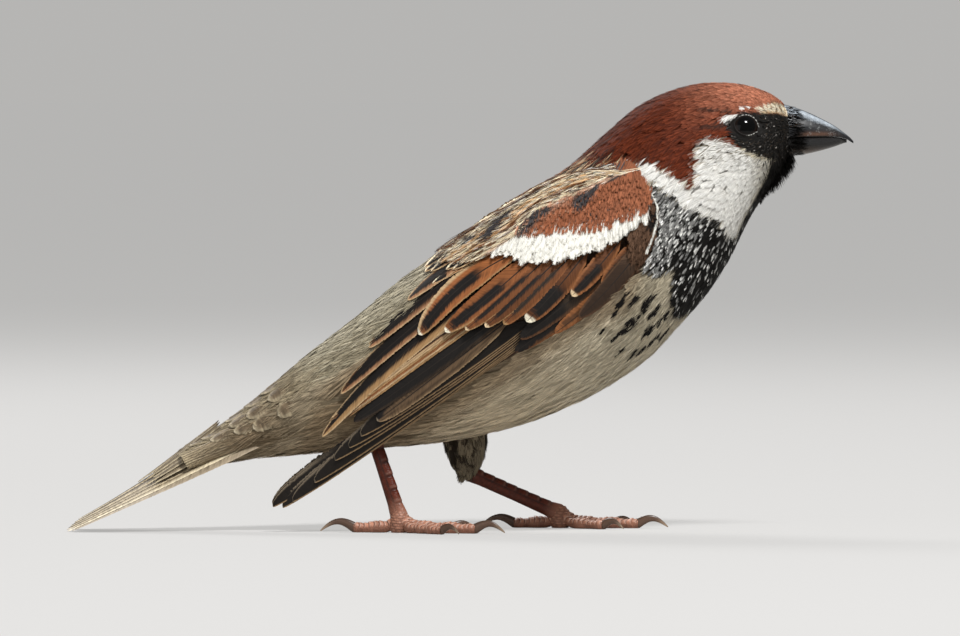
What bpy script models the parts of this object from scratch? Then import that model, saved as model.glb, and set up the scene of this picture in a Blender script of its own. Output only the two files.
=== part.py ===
"""A cock sparrow, life size, standing with its body pitched forward and its tail laid on the ground.

The bird faces +X, its left side is +Y, and +Z is up. The ground is z = 0, and the origin lies under the middle
of the bird. Sizes are in millimetres and become metres where a mesh is made.
"""

import math

import bmesh
import bpy
import numpy as np
from mathutils import Vector

MM = 0.001
GAP = 0.3  # the clearance between one solid and the next
RIGHT, LEFT = -1, 1  # the sign of y on each side of the bird

# Driving sizes of the bird, bill tip to tail tip.
TARSUS_DEPTH = 2.6
TARSUS_WIDTH = 1.9
EYE_RADIUS = 3.1
EYE_PLACE = (48.9, 4.6, 69.7)
BILL_BASE_X = 57.5

# The plumage outline, as sections from the bill's base to the end of the tail coverts. Each row is the section's
# centre (x, z), its lean back from the vertical in degrees, its half depth and half width, and its fullness: how
# much wider it is below its middle than above it.
BODY_SECTIONS = {
    "bill_base": (57.1, 69.0, 6, 4.4, 4.2, 0.00),
    "lores": (54.2, 68.1, 6, 7.4, 6.6, 0.06),
    "eyes": (49.4, 65.8, 8, 11.3, 8.6, 0.13),
    "hind_crown": (44.0, 62.5, 15, 14.7, 10.5, 0.12),
    "nape": (38.7, 59.0, 26, 16.0, 11.9, 0.08),
    "neck_base": (33.7, 53.9, 33, 16.4, 13.4, 0.04),
    "shoulder": (28.5, 48.8, 36, 16.7, 15.8, 0.02),
    "breast": (21.0, 43.1, 40, 18.0, 17.2, 0.00),
    "belly": (11.3, 36.5, 41, 17.8, 16.9, 0.00),
    "loin": (1.0, 30.7, 41, 16.4, 15.0, 0.00),
    "rump": (-9.9, 25.9, 36, 13.2, 11.8, 0.00),
    "vent": (-21.8, 21.8, 31, 9.2, 8.6, 0.00),
    "tail_coverts": (-31.3, 18.0, 28, 5.9, 6.4, 0.00),
    "coverts_end": (-39.2, 15.0, 28, 3.5, 5.6, 0.00),
}
HEAD_ENDS, NECK_ENDS, TRUNK_ENDS = 3.35, 4.75, 10.3  # where the body is parted, counted in sections
RINGS_PER_SECTION = 2
BODY_SIDES = 26

# The closed wing, measured in its own frame: along it from its bend towards its tip, and across it, where minus is
# towards the back. Each row is how far along, the across of its upper and lower edge, and how far out (y) its face
# lies at the upper edge, the middle and the lower edge.
WING_BEND = (34.5, 53.3)
WING_TIP = (-31.0, 4.4)
WING_OUTLINE = (
    (-1.0, -8.5, -2.0, 12.4, 13.2, 13.3),
    (2.0, -12.6, 2.0, 11.6, 14.5, 14.0),
    (8.4, -15.1, 5.6, 10.8, 16.8, 14.9),
    (14.0, -16.3, 6.8, 9.9, 18.0, 15.7),
    (21.0, -17.0, 5.2, 9.1, 18.3, 17.3),
    (28.0, -17.4, 4.5, 8.2, 18.0, 17.8),
    (34.0, -17.0, 4.3, 8.1, 17.5, 17.6),
    (39.0, -15.7, 3.8, 9.0, 17.0, 17.2),
    (46.0, -14.5, 3.2, 9.1, 15.8, 16.0),
    (53.0, -12.2, 2.5, 9.7, 14.4, 14.5),
    (60.0, -9.8, 2.2, 9.7, 12.8, 12.8),
    (68.0, -6.8, 1.9, 9.1, 10.9, 11.0),
    (75.0, -4.0, 2.1, 8.4, 9.5, 9.8),
    (81.7, -1.0, 1.0, 8.4, 8.8, 9.2),
)
# The three layers of each wing, from root to tip. Each row is a place on the upper edge and one on the lower edge,
# as along and across. The steps in the upper edges are feather tips.
COVERTS = (
    (-1.0, -8.5, -1.0, -2.0),
    (0.0, -11.2, 0.0, 0.2),
    (2.0, -12.6, 2.0, 2.0),
    (5.0, -13.8, 5.0, 4.0),
    (8.4, -15.1, 8.4, 5.6),
    (14.0, -16.3, 14.0, 6.8),
    (21.0, -17.0, 20.0, 5.4),
    (28.0, -17.4, 26.5, 4.6),
    (33.0, -17.0, 30.5, 4.3),
    (36.6, -15.8, 32.4, 3.0),
    (40.5, -13.8, 33.0, -1.0),
    (43.5, -10.9, 41.0, -6.8),
)
INNER_FEATHERS = (
    (26.0, -16.2, 26.0, 1.5),
    (32.0, -16.2, 31.0, 1.0),
    (40.0, -15.3, 38.0, 0.5),
    (46.0, -14.4, 44.0, 0.2),
    (50.0, -13.7, 48.0, 0.1),
    (52.2, -12.8, 50.0, 0.1),
    (52.6, -11.9, 50.6, 0.1),
    (57.0, -11.2, 55.0, 0.2),
    (60.6, -9.9, 58.0, -0.4),
    (61.2, -8.9, 59.0, -0.9),
    (64.5, -8.3, 62.5, -1.8),
    (67.0, -7.2, 65.5, -2.8),
    (68.1, -5.9, 67.4, -4.0),
)
PRIMARIES = (
    (32.0, -4.5, 29.0, 3.9),
    (38.0, -5.5, 36.0, 3.8),
    (46.0, -6.5, 45.0, 3.2),
    (54.0, -7.0, 53.0, 2.5),
    (62.0, -7.4, 61.0, 2.1),
    (67.5, -6.9, 67.0, 1.8),
    (71.0, -5.6, 71.0, 1.8),
    (74.5, -4.3, 74.0, 1.9),
    (77.8, -2.9, 77.0, 2.1),
    (78.3, -2.3, 78.3, 2.1),
    (80.2, -1.7, 79.5, 2.0),
    (81.7, -0.9, 80.8, 0.9),
)
COVERTS_DEPTHS = (0.0, 2.3)  # how far in from the wing's face each layer lies
INNER_DEPTHS = (0.45, 1.65)
PRIMARIES_DEPTHS = (1.95, 3.15)

# The closed tail, from its root in the body to its end on the ground.
TAIL_ROOT = (-19.5, 27.5)
TAIL_END = (-67.9, 2.7)
TAIL_FEATHERS = 6  # on each side

# The legs. Each foot stands where its toes part, and each toe is a heading off the way the foot points.
LEGS = {
    "R": dict(side=RIGHT, ankle=(-15.7, 6.0, 21.0), foot=(-9.7, 9.0, 2.5), points=-16.0),
    "L": dict(side=LEFT, ankle=(2.4, 7.0, 9.6), foot=(17.9, 11.0, 2.5), points=-4.0),
}
TOES = {  # heading in degrees towards the bird's outer side, length, radius, phalanx swellings, claw length
    "inner": (-34.0, 9.5, 1.00, 2, 4.6),
    "middle": (0.0, 13.5, 1.10, 3, 5.6),
    "outer": (30.0, 10.5, 0.95, 4, 4.4),
    "hind": (176.0, 8.0, 1.10, 2, 6.4),
}
PALM_RADIUS = 1.75


def finish(name, colour, roughness, metallic=0.0):
    """A plain Principled material of one colour."""
    material = bpy.data.materials.new(name)
    material.use_nodes = True
    shader = material.node_tree.nodes["Principled BSDF"]
    shader.inputs["Base Color"].default_value = (*colour, 1.0)
    shader.inputs["Roughness"].default_value = roughness
    shader.inputs["Metallic"].default_value = metallic
    return material


def curve_through(rows, at):
    """The smooth (Catmull-Rom) curve through rows of numbers, read at each place counted in rows."""
    rows = np.asarray(rows, float)
    padded = np.vstack([2 * rows[0] - rows[1], rows, 2 * rows[-1] - rows[-2]])
    at = np.clip(np.atleast_1d(at).astype(float), 0, len(rows) - 1)
    first = np.minimum(at.astype(int), len(rows) - 2)
    t = (at - first)[:, None]
    a, b, c, d = (padded[first + k] for k in range(4))
    return 0.5 * (2 * b + (c - a) * t + (2 * a - 5 * b + 4 * c - d) * t**2 + (3 * b - a - 3 * c + d) * t**3)


def closed_mesh(name, rings, smooth_angle=50.0):
    """A mesh through rings of points in millimetres, with a face over each end."""
    mesh = bpy.data.meshes.new(name)
    shape = bmesh.new()
    loops = [[shape.verts.new(Vector(point) * MM) for point in ring] for ring in rings]
    sides = len(loops[0])
    for near, far in zip(loops, loops[1:]):
        for k in range(sides):
            after = (k + 1) % sides
            shape.faces.new((near[k], near[after], far[after], far[k]))
    shape.faces.new(loops[0])
    shape.faces.new(loops[-1])
    bmesh.ops.recalc_face_normals(shape, faces=shape.faces[:])
    shape.to_mesh(mesh)
    shape.free()
    mesh.shade_smooth()
    mesh.set_sharp_from_angle(angle=math.radians(smooth_angle))
    return mesh


def place(name, mesh, material=None):
    """A sub-part where it has a material, or otherwise a helper that cuts or joins another and isn't part of it."""
    thing = bpy.data.objects.new(name, mesh)
    bpy.context.scene.collection.objects.link(thing)
    if material:
        mesh.materials.append(material)
    else:
        thing.hide_render = True
        thing.display_type = "WIRE"
    return thing


def combine(thing, operation, *others):
    """Adds one exact Boolean to thing for each of the others."""
    for other in others:
        modifier = thing.modifiers.new(f"{operation.lower()}_{other.name}", "BOOLEAN")
        modifier.operation = operation
        modifier.object = other
        modifier.solver = "EXACT"


def oval_ring(centre, across, up, half_across, half_up, sides):
    """Points of an ellipse round centre, in the plane of two unit directions."""
    turn = np.arange(sides) / sides * 2 * math.pi
    return (np.asarray(centre) + np.outer(np.cos(turn) * half_across, across)
            + np.outer(np.sin(turn) * half_up, up))


# ---- The body: head, neck, trunk and rump ----


def body_rings(start, end, grow=0.0):
    """Rings of the plumage outline between two places counted in sections, grown by a clearance."""
    count = max(2, round((end - start) * RINGS_PER_SECTION) + 1)
    rings = []
    for x, z, lean, depth, width, fullness in curve_through(
        list(BODY_SECTIONS.values()), np.linspace(start, end, count)
    ):
        lean = math.radians(lean)
        up = np.array([-math.sin(lean), 0.0, math.cos(lean)])
        turn = np.arange(BODY_SIDES) / BODY_SIDES * 2 * math.pi
        wide = np.cos(turn) * (1 - fullness * np.sin(turn)) * (width + grow)
        ring = np.array([x, 0.0, z]) + np.outer(np.sin(turn) * (depth + grow), up)
        ring[:, 1] = wide
        rings.append(ring)
    return rings


def parted(start, end):
    """Body rings with half the clearance taken off each end that meets another piece."""
    last = len(BODY_SECTIONS) - 1
    places = [start, end]
    for k, sign in ((0, 1), (1, -1)):
        if 0 < places[k] < last:
            ahead = curve_through(list(BODY_SECTIONS.values()), [places[k] - 0.05, places[k] + 0.05])[:, :2]
            pace = np.linalg.norm(ahead[1] - ahead[0]) / 0.1
            places[k] += sign * 0.65 * GAP / pace
    return body_rings(*places)


def make_body(chestnut, white, brown, grey):
    """The four solids of the body and the grown body that its limbs are cut by."""
    last = len(BODY_SECTIONS) - 1
    pieces = {}
    for name, start, end, material in (
        ("head", 0, HEAD_ENDS, chestnut),
        ("neck", HEAD_ENDS, NECK_ENDS, white),
        ("trunk", NECK_ENDS, TRUNK_ENDS, brown),
        ("rump", TRUNK_ENDS, last, grey),
    ):
        pieces[name] = place(name, closed_mesh(name, parted(start, end)), material)
    grown = place("body_grown", closed_mesh("body_grown", body_rings(0, last, GAP)))
    return pieces, grown


# ---- The bill ----


def make_bill(horn):
    """The upper and lower mandibles, as domed cones that meet along the cutting edge."""
    # x, the height of the culmen, of the cutting edge and of the keel, and the half width there.
    profile = (
        (BILL_BASE_X, 73.2, 67.55, 64.75, 3.95),
        (60.0, 72.2, 67.75, 64.85, 3.45),
        (62.6, 70.95, 67.8, 65.4, 2.75),
        (65.0, 69.65, 67.75, 66.1, 1.9),
        (66.8, 68.3, 67.45, 66.75, 1.05),
    )
    hook = ((67.7, 67.55, 66.95, 0.55), (68.25, 66.95, 66.6, 0.22))
    arc = np.linspace(0, math.pi, 9)
    upper, lower = [], []
    for x, culmen, edge, keel, width in curve_through(profile, np.linspace(0, 4, 13)):
        upper.append([(x, width * math.cos(a), edge + GAP / 2 + (culmen - edge) * math.sin(a) ** 0.9) for a in arc])
        lower.append([(x, width * 0.9 * math.cos(a), edge - GAP / 2 - (edge - keel) * math.sin(a) ** 0.8) for a in arc])
    for x, culmen, edge, width in hook:
        upper.append([(x, width * math.cos(a), edge + (culmen - edge) * math.sin(a)) for a in arc])
    for ring in upper + lower:  # the base leans with the face
        ring[:] = [(x + 0.105 * (69.0 - z) * max(0.0, 1 - (x - BILL_BASE_X) / 4), y, z) for x, y, z in ring]
    place("bill_upper", closed_mesh("bill_upper", upper), horn)
    place("bill_lower", closed_mesh("bill_lower", lower), horn)


# ---- The eyes ----


def make_eyes(head, glossy):
    """A ball in a socket on each side of the head."""
    for side, letter in ((RIGHT, "R"), (LEFT, "L")):
        centre = Vector((EYE_PLACE[0], side * EYE_PLACE[1], EYE_PLACE[2]))
        for name, radius, material in (
            (f"eye_{letter}", EYE_RADIUS, glossy),
            (f"socket_{letter}", EYE_RADIUS + GAP, None),
        ):
            mesh = bpy.data.meshes.new(name)
            ball = bmesh.new()
            bmesh.ops.create_uvsphere(ball, u_segments=16, v_segments=10, radius=radius * MM)
            ball.to_mesh(mesh)
            ball.free()
            mesh.shade_smooth()
            piece = place(name, mesh, material)
            piece.location = centre * MM
            if not material:
                combine(head, "DIFFERENCE", piece)


# ---- The wings ----


def wing_place(along, across):
    """The side view place (x, z) of a point given along and across the wing."""
    axis = np.subtract(WING_TIP, WING_BEND)
    axis = axis / np.linalg.norm(axis)
    return (WING_BEND[0] + axis[0] * along - axis[1] * across,
            WING_BEND[1] + axis[1] * along + axis[0] * across)


def wing_terms(along, across):
    """The powers of the along and across distances that the wing's face is made of."""
    along, across = np.asarray(along, float) / 80, np.asarray(across, float) / 20
    return np.stack([along**i * across**j for i in range(5) for j in range(3)], -1)


def fit_wing_face():
    """The smooth face that best fits the outline's heights."""
    places, out = [], []
    for along, upper, lower, *heights in WING_OUTLINE:
        places += [(along, upper), (along, (upper + lower) / 2), (along, lower)]
        out += heights
    places = np.array(places)
    return np.linalg.lstsq(wing_terms(places[:, 0], places[:, 1]), np.array(out), rcond=None)[0]


WING_FACE = fit_wing_face()


def grown_outline(rows, grow):
    """The rows of a leaf with its outline pushed outwards."""
    rows = np.asarray(rows, float)
    outline = np.vstack([rows[:, :2], rows[::-1, 2:]])
    way = np.roll(outline, -1, axis=0) - np.roll(outline, 1, axis=0)
    out = np.stack([way[:, 1], -way[:, 0]], -1) / np.linalg.norm(way, axis=1)[:, None]
    if np.sum((outline - outline.mean(0)) * out) < 0:
        out = -out
    outline = outline + out * grow
    return np.hstack([outline[: len(rows)], outline[len(rows):][::-1]])


def leaf(rows, depths, side, grow=0.0, edge=0.55):
    """Rings of a thin leaf below the wing's face. Its edges are the given share of its thickness."""
    rings = []
    rows = grown_outline(rows, 1.4 * grow)
    middle, half = sum(depths) / 2, (depths[1] - depths[0]) / 2
    share = np.linspace(0, 1, 8)
    for row in rows:
        upper, lower = np.array(row[:2], float), np.array(row[2:], float)
        thick = half * (edge + (1 - edge) * np.sin(share * math.pi) ** 0.6) + grow
        outer, inner = [], []
        for s, t in zip(share, thick):
            along, across = upper + (lower - upper) * s
            x, z = wing_place(along, across)
            face = float(wing_terms(along, across) @ WING_FACE)
            outer.append((x, side * (face - middle + t), z))
            inner.append((x, side * (face - middle - t), z))
        rings.append(outer + inner[::-1])
    return rings


def make_wings(body, chestnut, brown, dark):
    """Each wing's coverts, its inner flight feathers and its primaries, bedded in the flank."""
    smooth_coverts = curve_through(COVERTS, np.linspace(0, len(COVERTS) - 1, len(COVERTS) + 5))
    for side, letter in ((RIGHT, "R"), (LEFT, "L")):
        layers = []
        for name, rows, depths, material in (
            ("coverts", smooth_coverts, COVERTS_DEPTHS, chestnut),
            ("tertials", INNER_FEATHERS, INNER_DEPTHS, brown),
            ("primaries", PRIMARIES, PRIMARIES_DEPTHS, dark),
        ):
            name = f"wing_{name}_{letter}"
            layer = place(name, closed_mesh(name, leaf(rows, depths, side)), material)
            layers.append(layer)
        over = place(f"coverts_grown_{letter}",
                     closed_mesh("coverts_grown", leaf(smooth_coverts, COVERTS_DEPTHS, side, GAP, 1.0)))
        combine(layers[1], "DIFFERENCE", over)
        combine(layers[2], "DIFFERENCE", over)
        rows = [(along, upper - 0.2, along, lower + 0.3) for along, upper, lower, *_ in WING_OUTLINE[5:]]
        bed = place(f"wing_bed_{letter}",
                    closed_mesh("wing_bed", leaf(rows, (-4.0, PRIMARIES_DEPTHS[1]), side, GAP, 1.0)))
        combine(body["neck"], "DIFFERENCE", over)
        combine(body["trunk"], "DIFFERENCE", over, bed)
        combine(body["rump"], "DIFFERENCE", bed)


# ---- The tail ----


def tail_rings(start, grow=0.0):
    """Rings of the closed tail: a steep roof whose feathers step down from the middle pair to the sides."""
    root, end = np.array(TAIL_ROOT), np.array(TAIL_END)
    length = np.linalg.norm(end - root)
    way = (end - root) / length
    up = np.array([-way[1], way[0]]) if way[0] > 0 else np.array([way[1], -way[0]])
    rings = []
    for s in (start, 0.35, 0.5, 0.7, 0.88, 0.95, 0.985, 1.0):
        half = (3.2 + 3.2 * min(1.0, s / 0.85)) * math.sqrt(max(0.55, 1 - (max(0.0, s - 0.93) / 0.11) ** 2)) + grow
        here = root + way * (length * s + (grow if s == 1.0 else 0.0))
        drop = 3.3 - 0.5 * s
        top = []
        for k in range(TAIL_FEATHERS):
            for edge in (k + 0.02, k + 0.98):
                share = edge / TAIL_FEATHERS
                top.append((half * share, 1.0 - 0.09 * k - drop * share**1.4 + 2 * grow))
        under = [(half * share, 0.25 * share - 0.45 - drop * share**1.4 - 2 * grow) for share in (1.0, 0.66, 0.33)]
        one_side = top + under
        section = one_side + [(0.0, -0.45 - 2 * grow)] + [(-y, h) for y, h in one_side[::-1]]
        ring = [(here[0] + up[0] * h, y, max(here[1] + up[1] * h, 0.0 if not grow else -9.0)) for y, h in section]
        rings.append(ring)
    return rings


def make_tail(rump, dun):
    """The tail, let into the coverts. Its end lies on the ground."""
    place("tail", closed_mesh("tail", tail_rings(0.14)), dun)
    combine(rump, "DIFFERENCE", place("tail_grown", closed_mesh("tail_grown", tail_rings(0.12, GAP))))


# ---- The legs and feet ----


def tube_rings(path, radii, sides, flat_at=None):
    """Rings round a path. Each radius is one number or (across, up), and no point lies below flat_at."""
    path = np.asarray(path, float)
    rings = []
    for k, centre in enumerate(path):
        way = path[min(k + 1, len(path) - 1)] - path[max(k - 1, 0)]
        way = way / np.linalg.norm(way)
        across = np.cross(way, (0, 0, 1))
        across = across / np.linalg.norm(across)
        up = np.cross(across, way)
        wide, deep = radii[k] if np.ndim(radii[k]) else (radii[k], radii[k])
        ring = oval_ring(centre, across, up, wide, deep, sides)
        if flat_at is not None:
            ring[:, 2] = np.maximum(ring[:, 2], flat_at)
        rings.append(ring)
    return rings


def tarsus_rings(ankle, foot, start, end, grow=0.0):
    """The scaled shank, between two shares of the way from ankle to foot."""
    path = [ankle + (foot - ankle) * s for s in np.linspace(start, end, 6)]
    sizes = [((TARSUS_WIDTH / 2 + grow) * w, (TARSUS_DEPTH / 2 + grow) * w) for w in (1.1, 0.98, 0.92, 0.92, 0.98, 1.08)]
    return tube_rings(path, sizes, 12)


def toe_path(foot, heading, length, radii):
    """Down from the palm and out along the ground."""
    way = np.array([math.cos(heading), math.sin(heading), 0.0])
    points = []
    for s, radius in zip(np.linspace(0, 1, len(radii)), radii):
        height = radius * 0.84 + (foot[2] - radius * 0.84) * max(0.0, 1 - s / 0.34) ** 2
        points.append(np.array([foot[0], foot[1], height]) + way * length * s)
    return points, way


def make_foot(letter, leg, skin, horn, ground):
    """Four toes from one palm, with soles on the ground, and a curved claw on each."""
    side = leg["side"]
    foot = np.array([leg["foot"][0], side * leg["foot"][1], leg["foot"][2]])
    parts = []
    for toe, (turn, length, radius, swellings, claw) in TOES.items():
        heading = math.radians(leg["points"] + side * turn)
        share = np.linspace(0, 1, 10)
        radii = radius * (1 - 0.2 * share) * (1 + 0.09 * np.cos(share * swellings * 2 * math.pi))
        path, way = toe_path(foot, heading, length, radii)
        rings = tube_rings(path, list(radii), 8)
        parts.append(place(f"toe_{toe}_{letter}", closed_mesh(f"toe_{toe}_{letter}", rings)))
        make_claw(f"claw_{toe}_{letter}", path[-1], way, claw, radii[-1] * 0.8, horn)
    heights = ((-2.7, 0.8), (-1.8, 1.0), (-0.7, 1.05), (0.3, 0.95), (1.1, 0.75), (1.6, 0.4))
    palm = [oval_ring(foot + np.array([0, 0, h]), (1, 0, 0), (0, 1, 0), PALM_RADIUS * r, PALM_RADIUS * r, 12)
            for h, r in heights]
    whole = place(f"foot_{letter}", closed_mesh(f"foot_{letter}", palm), skin)
    combine(whole, "UNION", *parts)
    combine(whole, "DIFFERENCE", ground)
    return whole, foot


def make_claw(name, base, way, length, radius, horn):
    """A curved cone that arches off the toe and touches the ground with its point."""
    up = np.array([0.0, 0.0, 1.0])
    base = base + way * GAP
    path, radii = [], []
    for s in np.linspace(0, 1, 7):
        rise = 0.16 * length * math.sin(s * math.pi) - max(0.0, base[2] - 0.28) * s**1.6
        path.append(base + way * length * 0.93 * s + up * rise)
        radii.append((radius * 0.75 * (1 - s) + 0.12, radius * (1 - s) ** 0.8 + 0.16))
    place(name, closed_mesh(name, tube_rings(path, radii, 8, flat_at=0.02)), horn)


def make_ground():
    """A block whose top is the ground, which levels the soles."""
    ring = [(-60.0, -40.0), (60.0, -40.0), (60.0, 40.0), (-60.0, 40.0)]
    return place("ground", closed_mesh("ground", [[(x, y, z) for x, y in ring] for z in (-8.0, 0.0)]))


def make_legs(body_grown, skin, horn, down):
    """Each shank from the plumage to its foot. The left leg is forward and shows its feathered drumstick."""
    ground = make_ground()
    for letter, leg in LEGS.items():
        side = leg["side"]
        ankle = np.array([leg["ankle"][0], side * leg["ankle"][1], leg["ankle"][2]])
        whole, foot = make_foot(letter, leg, skin, horn, ground)
        reach = 1 - 0.5 / np.linalg.norm(foot - ankle)
        shank = place(f"tarsus_{letter}", closed_mesh(f"tarsus_{letter}", tarsus_rings(ankle, foot, 0.0, reach)), skin)
        grown = tarsus_rings(ankle, foot, 0.0, reach + GAP / 18, GAP)
        combine(whole, "DIFFERENCE", place(f"tarsus_grown_{letter}", closed_mesh(f"tarsus_grown_{letter}", grown)))
        combine(shank, "DIFFERENCE", body_grown)
        if letter == "L":
            make_thigh(ankle, foot, body_grown, down)


def make_thigh(ankle, foot, body_grown, down):
    """The feathered drumstick, a short cone out of the belly that narrows to the ankle."""
    back = (ankle - foot) / np.linalg.norm(ankle - foot)
    knee = ankle + np.array([-1.3, -1.2, 11.0])
    ring_sizes = ((4.6, 4.6), (4.1, 4.2), (3.6, 3.7), (2.9, 3.1), (1.6, 1.8))
    path = [knee + (ankle + back * 0.6 - knee) * s for s in (0.0, 0.35, 0.62, 0.84, 1.0)]
    rings = tube_rings(path, ring_sizes, 14)
    thigh = place("thigh_L", closed_mesh("thigh_L", rings), down)
    combine(thigh, "DIFFERENCE", body_grown)
    grown = tarsus_rings(ankle, foot, -0.02, 0.5, GAP)
    combine(thigh, "DIFFERENCE", place("ankle_cut", closed_mesh("ankle_cut", grown)))


def clear_scene():
    for thing in list(bpy.data.objects):
        bpy.data.objects.remove(thing)


def main():
    clear_scene()
    chestnut = finish("chestnut", (0.13, 0.04, 0.02), 0.8)
    white = finish("white", (0.75, 0.74, 0.70), 0.8)
    brown = finish("brown", (0.16, 0.09, 0.05), 0.8)
    dark = finish("dark", (0.03, 0.02, 0.012), 0.7)
    grey = finish("grey", (0.24, 0.20, 0.14), 0.8)
    dun = finish("dun", (0.16, 0.13, 0.09), 0.8)
    skin = finish("leg_skin", (0.22, 0.08, 0.05), 0.5)
    horn = finish("horn", (0.04, 0.04, 0.045), 0.3)
    glossy = finish("eye", (0.01, 0.008, 0.006), 0.05)

    body, body_grown = make_body(chestnut, white, brown, grey)
    make_bill(horn)
    make_eyes(body["head"], glossy)
    make_wings(body, chestnut, brown, dark)
    make_tail(body["rump"], dun)
    make_legs(body_grown, skin, horn, grey)


main()
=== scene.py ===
import math

import bpy
import numpy as np
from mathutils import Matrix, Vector


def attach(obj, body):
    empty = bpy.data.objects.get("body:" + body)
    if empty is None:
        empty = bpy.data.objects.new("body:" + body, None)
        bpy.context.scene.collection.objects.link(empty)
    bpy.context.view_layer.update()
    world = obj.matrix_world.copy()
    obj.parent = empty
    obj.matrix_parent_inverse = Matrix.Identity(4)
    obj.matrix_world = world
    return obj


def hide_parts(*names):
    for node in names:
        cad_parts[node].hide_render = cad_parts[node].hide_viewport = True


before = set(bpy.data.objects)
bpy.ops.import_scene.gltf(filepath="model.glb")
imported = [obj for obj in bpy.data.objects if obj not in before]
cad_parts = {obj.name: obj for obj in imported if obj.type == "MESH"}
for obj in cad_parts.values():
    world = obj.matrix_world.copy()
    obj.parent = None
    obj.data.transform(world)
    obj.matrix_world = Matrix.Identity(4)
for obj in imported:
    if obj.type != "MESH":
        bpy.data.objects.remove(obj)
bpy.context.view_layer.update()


# ---- The skin ----
# One skin runs from the face to the root of the tail, a coat's depth inside the plumage. It carries the same
# markings as the feathers, so that nothing pale or dark shows between them.

MM = 0.001  # lengths below are in millimetres, and become metres where a mesh is made
# Sections of the plumage: centre (x, z), lean back in degrees, half depth, half width, fullness.
BODY = {
    "bill_base": (57.1, 69, 6, 4.4, 4.2, 0),
    "lores": (54.2, 68.1, 6, 7.4, 6.6, 0.06),
    "eyes": (49.4, 65.8, 8, 11.3, 8.6, 0.13),
    "hind_crown": (44, 62.5, 15, 14.7, 10.5, 0.12),
    "nape": (38.7, 59, 26, 16, 11.9, 0.08),
    "neck_base": (33.7, 53.9, 33, 16.4, 13.4, 0.04),
    "shoulder": (28.5, 48.8, 36, 16.7, 15.8, 0.02),
    "breast": (21, 43.1, 40, 18, 17.2, 0),
    "belly": (11.3, 36.5, 41, 17.8, 16.9, 0),
    "loin": (1, 30.7, 41, 16.4, 15, 0),
    "rump": (-9.9, 25.9, 36, 13.2, 11.8, 0),
    "vent": (-21.8, 21.8, 31, 9.2, 8.6, 0),
    "tail_coverts": (-31.3, 18, 28, 5.9, 6.4, 0),
    "coverts_end": (-39.2, 15, 28, 3.5, 5.6, 0),
    "beyond": (-47, 11.6, 28, 2.4, 5.4, 0),
}
LAST_SECTION = len(BODY) - 1
SKIN_END = 12.9
TURN = 2 * math.pi
UP, DOWN = TURN / 4, -TURN / 4
SIDES = ((-1, "R"), (1, "L"))


def curve_through(rows, at):
    """The smooth (Catmull-Rom) curve through rows of numbers, read at each place counted in rows."""
    rows = np.asarray(rows, float)
    padded = np.vstack([2 * rows[0] - rows[1], rows, 2 * rows[-1] - rows[-2]])
    at = np.clip(np.atleast_1d(at).astype(float), 0, len(rows) - 1)
    first = np.minimum(at.astype(int), len(rows) - 2)
    t = (at - first)[:, None]
    a, b, c, d = (padded[first + k] for k in range(4))
    return 0.5 * (2 * b + (c - a) * t + (2 * a - 5 * b + 4 * c - d) * t**2 + (3 * b - a - 3 * c + d) * t**3)


BODY_ROWS = np.array(list(BODY.values()))


def body_point(s, turn, inset=0):
    """The plumage's outer surface, at s sections from the bill and a turn about the spine (0 left, 90 up)."""
    x, z, lean, depth, width, fullness = curve_through(BODY_ROWS, s).T
    lean = np.radians(lean)
    across = np.cos(turn) * (1 - fullness * np.sin(turn)) * (width - inset)
    rise = np.sin(turn) * (depth - inset)
    return np.stack([x - np.sin(lean) * rise, across, z + np.cos(lean) * rise], -1)


def unit(v):
    """Vectors made one long."""
    return v / np.maximum(np.linalg.norm(v, axis=-1, keepdims=True), 1e-9)


def body_tangents(s, turn):
    """How the surface moves per section and per radian of turn, and its outward normal."""
    s = np.clip(s, 0.03, LAST_SECTION - 0.03)
    along = (body_point(s + 0.03, turn) - body_point(s - 0.03, turn)) / 0.06
    around = (body_point(s, turn + 0.02) - body_point(s, turn - 0.02)) / 0.04
    return along, around, unit(np.cross(along, around))


def pairs(first, second):
    """Every value of one list with every value of another, as two flat lists."""
    return [values.ravel() for values in np.meshgrid(first, second, indexing="ij")]


def on_body(x, z, side):
    """The (s, turn) of the surface at side view places, on the right side (-1) or the left (1)."""
    grid_s, grid_t = pairs(np.linspace(0, LAST_SECTION, 281), np.linspace(DOWN, UP, 181))
    cloud = body_point(grid_s, grid_t)
    x, z = np.atleast_1d(x), np.atleast_1d(z)
    best = np.array([np.argmin((cloud[:, 0] - a) ** 2 + (cloud[:, 2] - b) ** 2) for a, b in zip(x, z)])
    turn = grid_t[best]
    return grid_s[best], turn if side > 0 else math.pi - turn


def ease(low, high, value):
    """A smooth climb from 0 at low to 1 at high."""
    t = np.clip((np.asarray(value, float) - low) / (high - low), 0, 1)
    return t * t * (3 - 2 * t)


def blend(first, second, share):
    """A mixture that holds a share of the second."""
    return np.asarray(first) * (1 - share) + np.asarray(second) * share


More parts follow.
